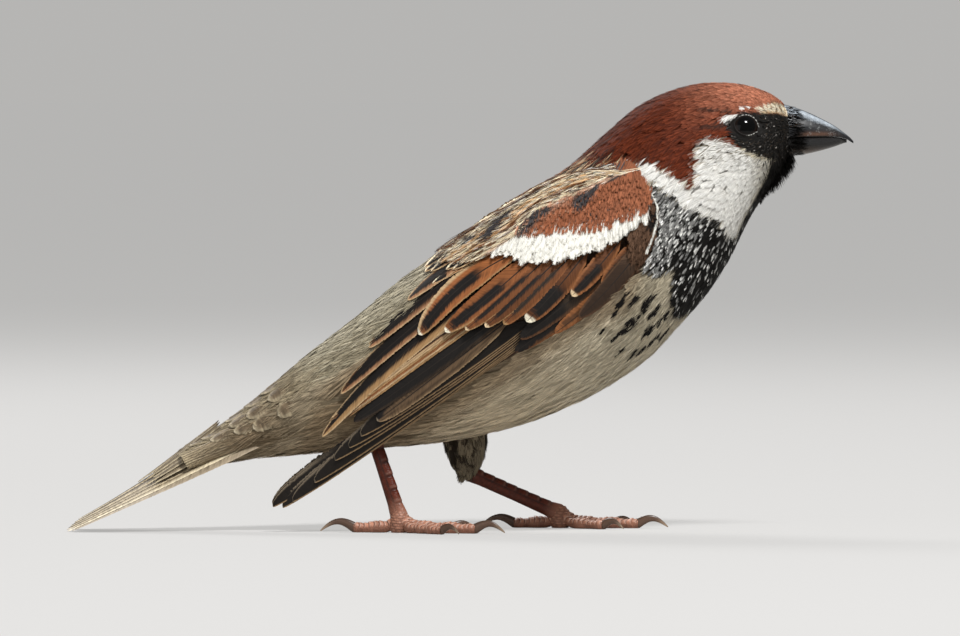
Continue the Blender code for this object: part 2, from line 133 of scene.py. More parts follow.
# The closed wing in its own frame: along it from its bend, and across it, where minus is towards the back.
# Each row is along, the across of its upper and lower edge, and how far out its face lies there and between.
WING_BEND = (34.5, 53.3)
WING_TIP = (-31, 4.4)
WING_OUTLINE = np.array((
    (-1, -8.5, -2, 12.4, 13.2, 13.3),
    (2, -12.6, 2, 11.6, 14.5, 14),
    (8.4, -15.1, 5.6, 10.8, 16.8, 14.9),
    (14, -16.3, 6.8, 9.9, 18, 15.7),
    (21, -17, 5.2, 9.1, 18.3, 17.3),
    (28, -17.4, 4.5, 8.2, 18, 17.8),
    (34, -17, 4.3, 8.1, 17.5, 17.6),
    (39, -15.7, 3.8, 9, 17, 17.2),
    (46, -14.5, 3.2, 9.1, 15.8, 16),
    (53, -12.2, 2.5, 9.7, 14.4, 14.5),
    (60, -9.8, 2.2, 9.7, 12.8, 12.8),
    (68, -6.8, 1.9, 9.1, 10.9, 11),
    (75, -4, 2.1, 8.4, 9.5, 9.8),
    (81.7, -1, 1, 8.4, 8.8, 9.2),
))
WING_AXIS = unit(np.subtract(WING_TIP, WING_BEND))
WING_LENGTH = WING_OUTLINE[-1, 0]


def wing_coordinates(x, z):
    """Side view places as (along, across) the wing."""
    dx, dz = np.asarray(x) - WING_BEND[0], np.asarray(z) - WING_BEND[1]
    return dx * WING_AXIS[0] + dz * WING_AXIS[1], -dx * WING_AXIS[1] + dz * WING_AXIS[0]


def wing_terms(along, across):
    """The powers of a place on the wing that its face is a sum of."""
    along, across = np.asarray(along, float) / 80, np.asarray(across, float) / 20
    return np.stack([along**i * across**j for i in range(5) for j in range(3)], -1)


def fit_wing_face():
    """The smooth face that best fits the outline's heights."""
    places, out = [], []
    for along, upper, lower, *heights in WING_OUTLINE:
        places += [(along, upper), (along, (upper + lower) / 2), (along, lower)]
        out += heights
    places = np.array(places)
    return np.linalg.lstsq(wing_terms(places[:, 0], places[:, 1]), np.array(out), rcond=None)[0]


WING_FACE = fit_wing_face()


def wing_point(along, across, depth, side):
    """The point that lies depth in from the wing's face."""
    along, across = np.asarray(along, float), np.asarray(across, float)
    out = wing_terms(along, across) @ WING_FACE - depth
    return np.stack([WING_BEND[0] + WING_AXIS[0] * along - WING_AXIS[1] * across, side * out,
                     WING_BEND[1] + WING_AXIS[1] * along + WING_AXIS[0] * across], -1)


def wing_edges(along):
    """The across of the wing's upper and lower edge."""
    return (np.interp(along, WING_OUTLINE[:, 0], WING_OUTLINE[:, k]) for k in (1, 2))


def inside_wing(x, z):
    """How far side view places are inside the closed wing's outline."""
    along, across = wing_coordinates(x, z)
    upper, lower = wing_edges(along)
    return np.minimum.reduce([across - upper, lower - across, along + 1, WING_LENGTH - along])


def under_wing(x, z):
    """The same, but only where the closed wing has no gaps between its feathers."""
    along, _ = wing_coordinates(x, z)
    return inside_wing(x, z) * ease(61, 53, along)


def within(outline, x, z):
    """Signed distance inside a closed outline of side view places, positive inside."""
    outline = np.asarray(outline, float)
    ends = np.roll(outline, -1, axis=0)
    p = np.stack([np.ravel(x), np.ravel(z)], -1)[:, None]
    run = ends - outline
    share = np.clip(((p - outline) * run).sum(-1) / (run**2).sum(-1), 0, 1)
    distance = np.linalg.norm(p - outline - share[..., None] * run, axis=-1).min(1)
    crosses = (outline[:, 1] > p[..., 1]) != (ends[:, 1] > p[..., 1])
    rise = np.where(run[:, 1] == 0, 1e-9, run[:, 1])
    at = outline[:, 0] + (p[..., 1] - outline[:, 1]) * run[:, 0] / rise
    odd = (crosses & (p[..., 0] < at)).sum(1) % 2 == 1
    return np.where(odd, distance, -distance).reshape(np.shape(x))


# The markings of both sides, as side view outlines (x, z). Neighbours share their edges.
NAPE_EDGE = ((40.3, 59.4), (39.5, 58.1), (38.3, 59.3), (35.3, 61.2), (32.2, 62.7))
BIB_EDGE = (
    (53.6, 63.4), (52.9, 60.7), (51.2, 57.5), (49.1, 53.5), (47.7, 49.9), (46.4, 49.9), (44.3, 53),
    (39.5, 54.7), (34.7, 57.8), (33.3, 59.5),
)
MARKS = {
    "cap": ((59.5, 74.6), (57.3, 73.2), (54, 74), (52, 72), (51, 68), (50, 66), (46.4, 65.5),
            (42.4, 66.5), (40.5, 66), *NAPE_EDGE, (27.6, 62.2), (23, 63.2), (20.2, 63), (19, 70),
            (31, 82), (53, 82)),
    "mask": ((57.6, 71.3), (53.6, 71.9), (50.8, 72.3), (48.4, 72.2), (46.6, 71.1), (45.2, 69.7), (45.9, 68.5),
             (46.7, 67.2), (47.8, 66), (49.2, 65.1), (51.7, 64.1), (53.6, 63.6), (59, 62), (60, 71)),
    "brow": ((57.3, 73.1), (55, 73.7), (52.6, 73.5), (50.6, 72.9), (51.6, 72.3), (54, 72.2), (57.4, 71.7)),
    "cheek": ((42.4, 67.3), (46.4, 66.7), (49.1, 64.7), (51.7, 63.8), *BIB_EDGE, (29.8, 60.2), (26.7, 61.4),
              (28.5, 62.4), *NAPE_EDGE[::-1], (40.3, 65.2), (41.2, 66.8)),
    "bib": ((60, 64.5), *BIB_EDGE, (30, 56), (30.5, 49), (31.4, 44), (33.4, 43), (36.3, 44.2),
            (35.8, 39.6), (36.3, 35.6), (40.5, 36.4), (50, 48), (60, 60)),
}
# White spots round the eye: the middle of each, and half its length and height.
WHITE_SPOTS = (
    (46.2, 70.9, 1.35, 0.55), (45.6, 70.3, 0.9, 0.4), (48.5, 72.7, 0.55, 0.28), (49.7, 72.9, 0.35, 0.2),
)

CHESTNUT = (0.16, 0.03, 0.009)
PAINTED_CROWN_HIGHLIGHT = (0.62, 0.245, 0.145)
CHESTNUT_SHADE = (0.085, 0.017, 0.006)
CHESTNUT_DARK = (0.042, 0.009, 0.004)
WHITE = (0.84, 0.83, 0.79)
WHITE_SHADE = (0.76, 0.74, 0.69)
BLACK = (0.014, 0.013, 0.012)
BELLY = (0.66, 0.56, 0.4)
FLANK = (0.285, 0.2, 0.115)
BELLY_SHADE = (0.48, 0.4, 0.28)
CREAM = (0.66, 0.5, 0.31)
IVORY = (0.8, 0.74, 0.58)
CHEEK_BUFF = (0.42, 0.38, 0.28)
RUFOUS = (0.34, 0.15, 0.065)
BLACKISH = (0.026, 0.02, 0.016)
OLIVE = (0.33, 0.285, 0.195)
OLIVE_SHADE = (0.15, 0.125, 0.082)
DUN = (0.115, 0.078, 0.046)
UNDERTAIL = (0.185, 0.13, 0.075)
PALE_OLIVE = (0.56, 0.51, 0.38)
DUN_EDGE = (0.33, 0.27, 0.175)


def ripple(x, z, scale, seed=0):
    """A smooth pseudo-random field in about -1 to 1."""
    a = np.sin(x * 2.1 / scale + seed) + np.sin(z * 1.7 / scale + 1.3 * seed + 0.8)
    b = np.sin((x + z) * 1.3 / scale + 2.1 + seed) + np.sin((x - z) * 2.7 / scale + 0.4 * seed)
    return (a + b) / 3


def plumage(points, wobble):
    """The colours of the coat's tips and roots at points, with edges broken up by wobble (about -1 to 1)."""
    x, y, z = points[:, 0], np.abs(points[:, 1]), points[:, 2]
    s, turn = near_section(points)
    tip = np.tile(BELLY, (len(x), 1)).astype(float)
    root = np.tile(BELLY_SHADE, (len(x), 1)).astype(float)

    def lay(share, tip_colour, root_colour):
        share = np.clip(share, 0, 1)[:, None]
        tip[:] = blend(tip, tip_colour, share)
        root[:] = blend(root, root_colour, share)

    # The underside is warmer and darker towards the flanks and vent, and has soft dusky shaft streaks.
    lay(ease(2, 30, x), (0.64, 0.57, 0.43), (0.53, 0.47, 0.35))
    lay(0.26 * ease(0.3, 1, ripple(x * 0.5, z * 2.2, 2.4, 3) + 0.5 * wobble), OLIVE, OLIVE_SHADE)
    # The back: braces of cream and black down the mantle, then plain olive from the loin to the tail.
    off = np.degrees(np.abs(turn - UP))
    back = ease(66, 60, off + 4 * wobble)
    bands = off + 2 * np.sin(s * 3) + 2.5 * wobble
    braces = (np.sin(bands * 0.6 + 0.4) > 0.25) & (bands > 5)
    inky = (np.sin(bands * 0.6 + 2.6) > 0.3)
    mantle = back * ease(8.7, 8.1, s + 0.3 * wobble)
    lay(back, OLIVE, OLIVE_SHADE)
    lay(0.8 * back * (wobble > 0.45), PALE_OLIVE, OLIVE)
    lay(0.7 * back * (wobble < -0.55), OLIVE_SHADE, OLIVE_SHADE)
    lay(0.5 * ease(44, 22, off + 5 * wobble) * back, PALE_OLIVE, OLIVE)
    lay(back * ease(10.8, 11.6, s), DUN_EDGE, DUN)
    lay(mantle, RUFOUS, BLACKISH)
    lay(mantle * inky, BLACKISH, BLACKISH)
    lay(mantle * braces, CREAM, DUN)
    # The rump's sides are dun, and the vent and the underside of the tail's root browner: partly their own
    # colour, partly painted shade on the underside.
    lay(ease(9.9, 11.2, s) * (1 - back) * ease(135, 105, off), (0.3, 0.245, 0.165), DUN_EDGE)
    lay(ease(11.2, 12.6, s) * (1 - back) * (0.75 + 0.2 * wobble), UNDERTAIL, DUN)
    lay(0.8 * ease(12.9, 13.7, s) * ease(130, 100, off), DUN_EDGE, DUN_EDGE)
    # The breast is darker olive beside the wing and the flank browner below it: partly their own colour,
    # partly painted shade of the wing.
    from_wing = -inside_wing(x, z)
    beside = ease(8, 2, from_wing + wobble) * ease(24, 29, x)
    lay(0.6 * beside * (1 - back), OLIVE, OLIVE_SHADE)
    brown_and_wing_shade = ease(4.6, 0.6, from_wing + 0.8 * wobble) * ease(33, 27, x)
    lay(0.75 * brown_and_wing_shade * (1 - back), FLANK, DUN)

    # The head: black bib, chestnut cap that ends in streaks, white cheek, black mask, pale brow and spots.
    edge = 0.35 * wobble
    bib = within(MARKS["bib"], x, z) + edge
    lay(ease(-0.2, 0.25, bib), BLACK, BLACK)
    ragged = ease(31, 23, x) * (1.3 * np.sin(off * 0.61 + 1.2 * np.sin(off * 0.17)) + 1.1 * wobble)
    cap = ease(-0.2, 0.3, within(MARKS["cap"], x, z) + edge + ragged)
    lay(cap, CHESTNUT, CHESTNUT_SHADE)
    lay(0.45 * cap * ease(43, 31, x), CHESTNUT_SHADE, CHESTNUT_DARK)
    # A painted highlight lightens the top of the cap, where it faces up.
    lay(cap * ease(0.35, 0.95, np.sin(turn)) * ease(34, 51, x), PAINTED_CROWN_HIGHLIGHT, CHESTNUT)
    lay(0.75 * cap * (wobble > 0.52), CHESTNUT_DARK, CHESTNUT_DARK)
    line = ease(0.55, 0.15, np.abs(z - 69.3)) + ease(0.35, 0.1, np.abs(z - 71.9 - 0.1 * (46 - x)))
    lay(0.8 * line * ease(39, 43, x) * ease(48, 46.5, x), BLACKISH, BLACKISH)
    cheek = ease(-0.2, 0.2, within(MARKS["cheek"], x, z) + edge)
    lay(cheek, WHITE, WHITE_SHADE)
    lay(cheek * ease(49, 52.5, x) * (0.5 + 0.4 * wobble), CHEEK_BUFF, OLIVE_SHADE)
    lay(cheek * ease(60.5, 64.5, z) * (wobble > 0.35), OLIVE_SHADE, OLIVE_SHADE)
    mask = within(MARKS["mask"], x, z) + 0.5 * edge
    lay(ease(-0.1, 0.2, mask), BLACK, BLACK)
    lay(0.7 * ease(0.3, 0.8, mask) * (wobble > 0.72), DUN, BLACK)
    strokes = np.sin((0.85 * x + 0.25 * z) * 9.5 + 0.8 * wobble) > -0.45
    lay(ease(-0.05, 0.12, within(MARKS["brow"], x, z) + 0.8 * edge) * (y > 1.6) * strokes, IVORY, CREAM)
    for sx, sz, wide, tall in WHITE_SPOTS:
        spot = 1 - ((x - sx) / wide) ** 2 - ((z - sz) / tall) ** 2
        lay(ease(0, 0.4, spot + 0.45 * wobble), WHITE, WHITE_SHADE)
    return tip, root


SECTION_S = np.linspace(0, LAST_SECTION, 561)
SECTION_ROWS = curve_through(BODY_ROWS, SECTION_S)


def near_section(points):
    """About which section of the body each point belongs to, and its turn about the spine (as if left)."""
    x, y, z = points[:, 0], np.abs(points[:, 1]), points[:, 2]
    lean = np.radians(SECTION_ROWS[:, 2])
    # A section's plane holds the point when the point has no distance along the plane's normal.
    off = (x[:, None] - SECTION_ROWS[:, 0]) * np.cos(lean) + (z[:, None] - SECTION_ROWS[:, 1]) * np.sin(lean)
    index = np.argmin(np.abs(off), axis=1)
    rows = SECTION_ROWS[index]
    rise = -(x - rows[:, 0]) * np.sin(lean[index]) + (z - rows[:, 1]) * np.cos(lean[index])
    turn = np.arctan2(rise / rows[:, 3], y / rows[:, 4])
    return SECTION_S[index], turn


def make_mesh(name, points, faces):
    """A mesh from arrays, smooth all over, with its points in millimetres."""
    mesh = bpy.data.meshes.new(name)
    points, faces = np.asarray(points, np.float32), np.asarray(faces, np.int32)
    mesh.vertices.add(len(points))
    mesh.vertices.foreach_set("co", (points * MM).ravel())
    mesh.loops.add(faces.size)
    mesh.loops.foreach_set("vertex_index", faces.ravel())
    mesh.polygons.add(len(faces))
    mesh.polygons.foreach_set("loop_start", np.arange(0, faces.size, faces.shape[1], dtype=np.int32))
    mesh.polygons.foreach_set("use_smooth", np.full(len(faces), True))
    mesh.update(calc_edges=True)
    return mesh


def show(name, slot, material, shape, replaces=()):
    """A piece of the bird, which may stand for CAD nodes. shape is points, faces, colours and unwrap."""
    points, faces, tint, uv = shape
    mesh = make_mesh(name, points, faces)
    if tint is not None:
        rgba = np.ones((len(points), 4), np.float32)
        rgba[:, :3] = tint
        mesh.attributes.new("plumage", "FLOAT_COLOR", "POINT").data.foreach_set("color", rgba.ravel())
    corners = np.asarray(uv, np.float32)[np.asarray(faces).ravel()]
    mesh.uv_layers.new(name="OFBake").data.foreach_set("uv", corners.ravel())
    mesh.materials.append(material)
    piece = bpy.data.objects.new(name, mesh)
    bpy.context.scene.collection.objects.link(piece)
    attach(piece, "root")
    if replaces:
        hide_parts(*replaces)
    return mesh


def grid_faces(rows, columns, closed=False):
    """Quads over a grid of points, numbered row by row."""
    i, j = np.meshgrid(np.arange(rows - 1), np.arange(columns if closed else columns - 1), indexing="ij")
    after = (j + 1) % columns
    return np.stack([i * columns + j, i * columns + after, (i + 1) * columns + after, (i + 1) * columns + j],
                    -1).reshape(-1, 4)


def new_material(name, roughness, specular=0.5):
    """A material, its node tree and its shader."""
    material = bpy.data.materials.new(name)
    material.use_nodes = True
    shader = material.node_tree.nodes["Principled BSDF"]
    give(shader, {"Roughness": roughness, "Specular IOR Level": specular})
    return material, material.node_tree, shader


def give(node, values):
    """Gives a node's inputs their values."""
    for socket, value in values.items():
        node.inputs[socket].default_value = value


def add(tree, kind, values=None, **settings):
    """A new node in a tree, with its settings and then its inputs given."""
    node = tree.nodes.new(f"ShaderNode{kind}")
    for setting, value in settings.items():
        setattr(node, setting, value)
    give(node, values or {})
    return node


def wire(tree, *routes):
    """Links in a tree, each from a node's output to a node's input."""
    for source, output, target, socket in routes:
        tree.links.new(source.outputs[output], target.inputs[socket])


def effect(name, inputs, outputs):
    """An empty node group, with its own way in and out, for an effect that several materials share."""
    group = bpy.data.node_groups.new(name, "ShaderNodeTree")
    for socket, kind in inputs:
        group.interface.new_socket(socket, in_out="INPUT", socket_type=kind)
    for socket, kind in outputs:
        group.interface.new_socket(socket, in_out="OUTPUT", socket_type=kind)
    return group, group.nodes.new("NodeGroupInput"), group.nodes.new("NodeGroupOutput")


# The points' own colours with a finely broken tone, as feather is never one flat colour.
feather_tone, _, out = effect("feather tone", (), (("Color", "NodeSocketColor"),))
colour = add(feather_tone, "Attribute", attribute_name="plumage")
place = add(feather_tone, "TexCoord")
noise = add(feather_tone, "TexNoise", {"Scale": 900, "Detail": 3})
tone = add(feather_tone, "MapRange", {"To Min": 0.8, "To Max": 1.16})
mix = add(feather_tone, "Mix", {"Factor": 1}, data_type="RGBA", blend_type="MULTIPLY")
wire(feather_tone, (place, "Object", noise, "Vector"), (noise, "Fac", tone, "Value"),
     (colour, "Color", mix, "A"),
     (tone, "Result", mix, "B"), (mix, "Result", out, "Color"))


def plumage_material(name, roughness, specular=0.15):
    """Feathers coloured by their own points, with a fine broken tone."""
    material, tree, shader = new_material(name, roughness, specular)
    wire(tree, (add(tree, "Group", node_tree=feather_tone), "Color", shader, "Base Color"))
    return material


SKIN_ROWS, SKIN_SIDES = 220, 160
COAT_DEPTH = 0.85
FACE_DEPTH = 0.35
WING_BED = 3.4  # how far the skin gives way under the closed wing


def coat_depth(s):
    """How deep the skin lies in the plumage: shallow on the face."""
    return FACE_DEPTH + (COAT_DEPTH - FACE_DEPTH) * ease(0.5, 4.5, s)


def on_back(turn):
    """A share that is 1 on the bird's back, above the wings."""
    return ease(0.1, 0.4, np.sin(turn))


def skin_inset(s, turn):
    """The coat's depth, and the bed of the closed wing where it lies on the flank."""
    outer = body_point(s, turn)
    under = under_wing(outer[:, 0], outer[:, 2]) - 1.3 * on_back(turn)
    return coat_depth(s) + WING_BED * ease(0.6, 3.2, under)


def unwrap(s, turn):
    """Where a place on the skin lies on its unwrap."""
    return np.stack([((np.asarray(turn) - DOWN) / TURN) % 1, np.asarray(s) / LAST_SECTION], -1)


def circle(sides):
    """Turns once round, in even steps."""
    return np.linspace(0, TURN, sides, endpoint=False)


skin_s, skin_turn = pairs(np.linspace(0, SKIN_END, SKIN_ROWS), circle(SKIN_SIDES) + DOWN)
points = body_point(skin_s, skin_turn, skin_inset(skin_s, skin_turn))
skin_tip, skin_root = plumage(body_point(skin_s, skin_turn), ripple(points[:, 0], points[:, 2], 0.35))
tint = 0.5 * skin_tip + 0.5 * skin_root
# A point in the middle of either end closes it.
ends = np.array([points[:SKIN_SIDES].mean(0), points[-SKIN_SIDES:].mean(0)])
points = np.vstack([points, ends])
tint = np.vstack([tint, tint[:1], tint[-1:]])
uv = np.vstack([unwrap(skin_s, skin_turn), [[0.5, 0], [0.5, 1]]])
faces = grid_faces(SKIN_ROWS, SKIN_SIDES, closed=True)
ring = np.arange(SKIN_SIDES)
front, rear = len(points) - 2, len(points) - 1
last = (SKIN_ROWS - 1) * SKIN_SIDES
triangles = np.vstack([
    faces[:, (0, 2, 1)], faces[:, (0, 3, 2)],
    np.stack([np.full(SKIN_SIDES, front), ring, (ring + 1) % SKIN_SIDES], -1),
    np.stack([np.full(SKIN_SIDES, rear), last + (ring + 1) % SKIN_SIDES, last + ring], -1)])

# The left drumstick, a feathered cone that narrows to the ankle, belongs to the same skin.
LEGS = {
    "R": dict(side=-1, ankle=(-15.7, -6, 21), foot=(-9.7, -9, 2.5), points=-16),
    "L": dict(side=1, ankle=(2.4, 7, 9.6), foot=(17.9, 11, 2.5), points=-4),
}
THIGH_SIZES = ((4.6, 4.6), (4.1, 4.2), (3.6, 3.7), (2.9, 3.1), (1.6, 1.8))
THIGH_LENGTH = 11
THIGH_ROWS, THIGH_SIDES = 30, 32


def frame_of(way):
    """The across and up ways of a tube that runs along way."""
    across = unit(np.cross(way, (0, 0, 1)))
    return across, np.cross(across, way)


def thigh_point(t, turn, inset=0):
    """The drumstick's outer surface, at a share of its length and a turn about it."""
    ankle, foot = np.array(LEGS["L"]["ankle"]), np.array(LEGS["L"]["foot"])
    knee = ankle + np.array([-1.3, -1.2, THIGH_LENGTH])
    run = ankle + unit(ankle - foot) * 0.6 - knee
    wide, deep = curve_through(THIGH_SIZES, np.interp(t, (0, 0.35, 0.62, 0.84, 1), range(5))).T - inset
    across, up = frame_of(unit(run))
    centre = knee + run * np.reshape(t, (-1, 1))
    return centre + (np.cos(turn) * wide)[:, None] * across + (np.sin(turn) * deep)[:, None] * up


def thigh_unwrap(t, turn):
    """Where a place on the drumstick lies on the skin's unwrap, in a corner that the skin leaves free."""
    return np.stack([0.02 + 0.1 * (np.asarray(turn) / TURN % 1), 0.94 + 0.05 * t], -1)


thigh_t, thigh_turn = pairs(np.linspace(0, 1, THIGH_ROWS), circle(THIGH_SIDES))
thigh_points = thigh_point(thigh_t, thigh_turn, 0.6)
thigh_faces = grid_faces(THIGH_ROWS, THIGH_SIDES, closed=True) + len(points)
triangles = np.vstack([triangles, thigh_faces[:, (0, 1, 2)], thigh_faces[:, (0, 2, 3)]])
points = np.vstack([points, thigh_points])
tint = np.vstack([tint, np.tile((0.1, 0.085, 0.065), (len(thigh_points), 1))])
uv = np.vstack([uv, thigh_unwrap(thigh_t, thigh_turn)])
skin_material = plumage_material("feathered skin", 0.8)
show("skin", "plumage", skin_material, (points, triangles, tint, uv),
     ("head", "neck", "trunk", "rump", "thigh_L"))


# ---- The eyes ----
# Each eye is a dark ball that bulges a little from a bare almond of lid. The lid's rim is beaded, with flecks
# of white feather round it.

EYE_VIEW = (49.8, 69.8)  # the middle of the opening, seen from the side
EYE_RADIUS = 3
EYE_BULGE = 0.35
BALL_RINGS, BALL_SIDES, LID_SIDES = 40, 64, 144
# Rows of the lid: how far out from its margin, how high over the ball, and how far its beads stand up.
LID_PROFILE = (
    (-0.25, -0.3, 0), (0, 0.03, 0), (0.07, 0.12, 0.08), (0.13, 0.17, 0.16), (0.2, 0.17, 0.16),
    (0.28, 0.12, 0.08), (0.6, 0, 0), (1, -0.42, 0), (1.5, -1, 0),
)


def bell(x):
    """A bump, 1 at 0."""
    return np.exp(-(x**2))


def signed(turn):
    """A turn as the same one between minus and plus half a turn."""
    return np.angle(np.exp(1j * turn))


def almond(turn):
    """How far the lid's margin is from the middle of the opening, with its corner to the front and low."""
    corner, rear = bell(signed(turn + 0.27) / 0.21), bell(signed(turn - 2.95) / 0.3)
    return 1 / np.sqrt((np.cos(turn) / 2.12) ** 2 + (np.sin(turn) / 1.78) ** 2) + 1.05 * corner + 0.16 * rear


def eye_frame(side):
    """The middle of the opening on the coat's surface, its outward way, its way to the bill and its way up."""
    s, turn = on_body([EYE_VIEW[0]], [EYE_VIEW[1]], side)
    _, _, out = body_tangents(s, turn)
    middle, out = body_point(s, turn)[0], out[0]
    ahead = unit(np.array([1, 0, 0]) - out * out[0])
    up = np.cross(out, ahead) * -side
    return middle, out, ahead, up * np.sign(up[2])


def make_eye(side, letter):
    """The ball, with its pupil facing out, and its lid."""
    middle, out, ahead, up = eye_frame(side)
    centre = middle + out * (EYE_BULGE - EYE_RADIUS)
    polar, spin = pairs(np.linspace(0, math.pi, BALL_RINGS), circle(BALL_SIDES))
    ball = centre + EYE_RADIUS * (np.cos(polar)[:, None] * out
                                  + (np.sin(polar) * np.cos(spin))[:, None] * ahead
                                  + (np.sin(polar) * np.sin(spin))[:, None] * up)
    faces = grid_faces(BALL_RINGS, BALL_SIDES, closed=True)
    uv = np.stack([spin / TURN, polar / math.pi], -1)
    mesh = show(f"eyeball_{letter}", "eye", eye_material, (ball, faces[:, ::-side], None, uv),
                (f"eye_{letter}",))
    mesh.attributes.new("iris", "FLOAT", "POINT").data.foreach_set("value", polar.astype(np.float32))
    # The lid: from the ball over a beaded rim and down to the skin.
    turn = circle(LID_SIDES)
    margin = almond(turn)
    angle = signed(turn)
    beads = 0.12 + 0.88 * ease(-0.5, 0.4, np.cos(turn * 23 + 1.2 * np.sin(turn * 5)))
    beads = beads * (0.15 + 0.85 * ease(-0.85, -0.4, np.cos(turn + 0.1)))
    beads = beads * ease(-1.65, -1.35, angle) * ease(2.55, 2.2, angle)
    points, tints = [], []
    for reach, rise, bead in LID_PROFILE:
        radius = margin + reach
        flat = middle + (np.cos(turn) * radius)[:, None] * ahead + (np.sin(turn) * radius)[:, None] * up
        on_ball = centre + unit(flat - centre) * (EYE_RADIUS + rise + bead * beads[:, None] * 0.35)
        drop = radius**2 / 17
        on_head = flat - out * (drop[:, None] - rise * 0.6)
        points.append(blend(on_ball, on_head, ease(0.3, 0.8, reach)))
        fleck = beads * ease(0.06, 0.13, reach) * ease(0.29, 0.22, reach)
        tints.append(np.array((0.014, 0.012, 0.011)) + fleck[:, None] * np.array((0.66, 0.65, 0.6)))
    faces = grid_faces(len(LID_PROFILE), LID_SIDES, closed=True)
    share, round_lid = pairs([row[0] / 3 + 0.2 for row in LID_PROFILE], turn / TURN)
    show(f"eyelid_{letter}", "eye", skin_material,
         (np.vstack(points), faces[:, ::side], np.vstack(tints), np.stack([round_lid, share], -1)))


eye_material, tree, shader = new_material("eye", 0.06)
give(shader, {"IOR": 1.26})
ramp = add(tree, "ValToRGB")
for step, (place, colour) in enumerate(((0.52, (0.002, 0.002, 0.002, 1)), (0.6, (0.009, 0.005, 0.0035, 1)))):
    ramp.color_ramp.elements[step].position = place
    ramp.color_ramp.elements[step].color = colour
wire(tree, (add(tree, "Attribute", attribute_name="iris"), "Fac", ramp, "Fac"),
     (ramp, "Color", shader, "Base Color"))

for eye_side, eye_letter in SIDES:
    make_eye(eye_side, eye_letter)


# ---- The bill ----
# A stout cone in two halves. The upper half is ridged along its top, overhangs the lower at its tip and has
# a nostril near its base, half hidden by bristles.

# x, the height of the culmen, of the cutting edge and of the keel, and the half width there.
BILL = (
    (56.2, 73.4, 67.55, 64.5, 4.1),
    (57.5, 73.15, 67.55, 64.75, 3.95),
    (60, 72.2, 67.75, 64.85, 3.45),
    (62.6, 70.95, 67.8, 65.4, 2.75),
    (65, 69.65, 67.75, 66.1, 1.9),
    (66.8, 68.35, 67.45, 66.75, 1.05),
    (67.7, 67.6, 66.95, 66.85, 0.5),
    (68.25, 67, 66.62, 66.8, 0.16),
)
BILL_ROWS = np.array(BILL)
BILL_RINGS, BILL_SIDES = 110, 73
BILL_GAPE = 0.03  # the gap between the halves
NOSTRIL = (58.9, 71.35, 0.62, 0.42)  # its middle, and half its length and height


def bill_slant(z):
    """How far back the bill's base leans at a height."""
    return 0.105 * (69 - z)


def bill_half(upper):
    """One half of the bill as a grid of points."""
    last = 7 if upper else 5.25
    rows = curve_through(BILL, np.linspace(0, last, BILL_RINGS))
    arc = np.linspace(0, math.pi, BILL_SIDES)
    grid = []
    for x, culmen, edge, keel, width in rows:
        if upper:
            y = width * np.cos(arc) * (1 - 0.06 * np.sin(2 * arc) ** 2)
            z = edge + BILL_GAPE * 0.5 + (culmen - edge) * np.sin(arc) ** 0.86
        else:
            y = width * 0.93 * np.cos(arc)
            z = edge - BILL_GAPE * 0.5 - (edge - keel) * np.sin(arc) ** 0.78
            if x > 66:
                y = y * max(0.05, 1 - (x - 66) / 1.15)
        grid.append(np.stack([x + bill_slant(z) * max(0, 1 - (x - 57.5) / 4), y, z], -1))
    return np.array(grid)


def bill_curve(x, column):
    """A column of the bill's table at x."""
    return np.interp(x, BILL_ROWS[:, 0], BILL_ROWS[:, column])


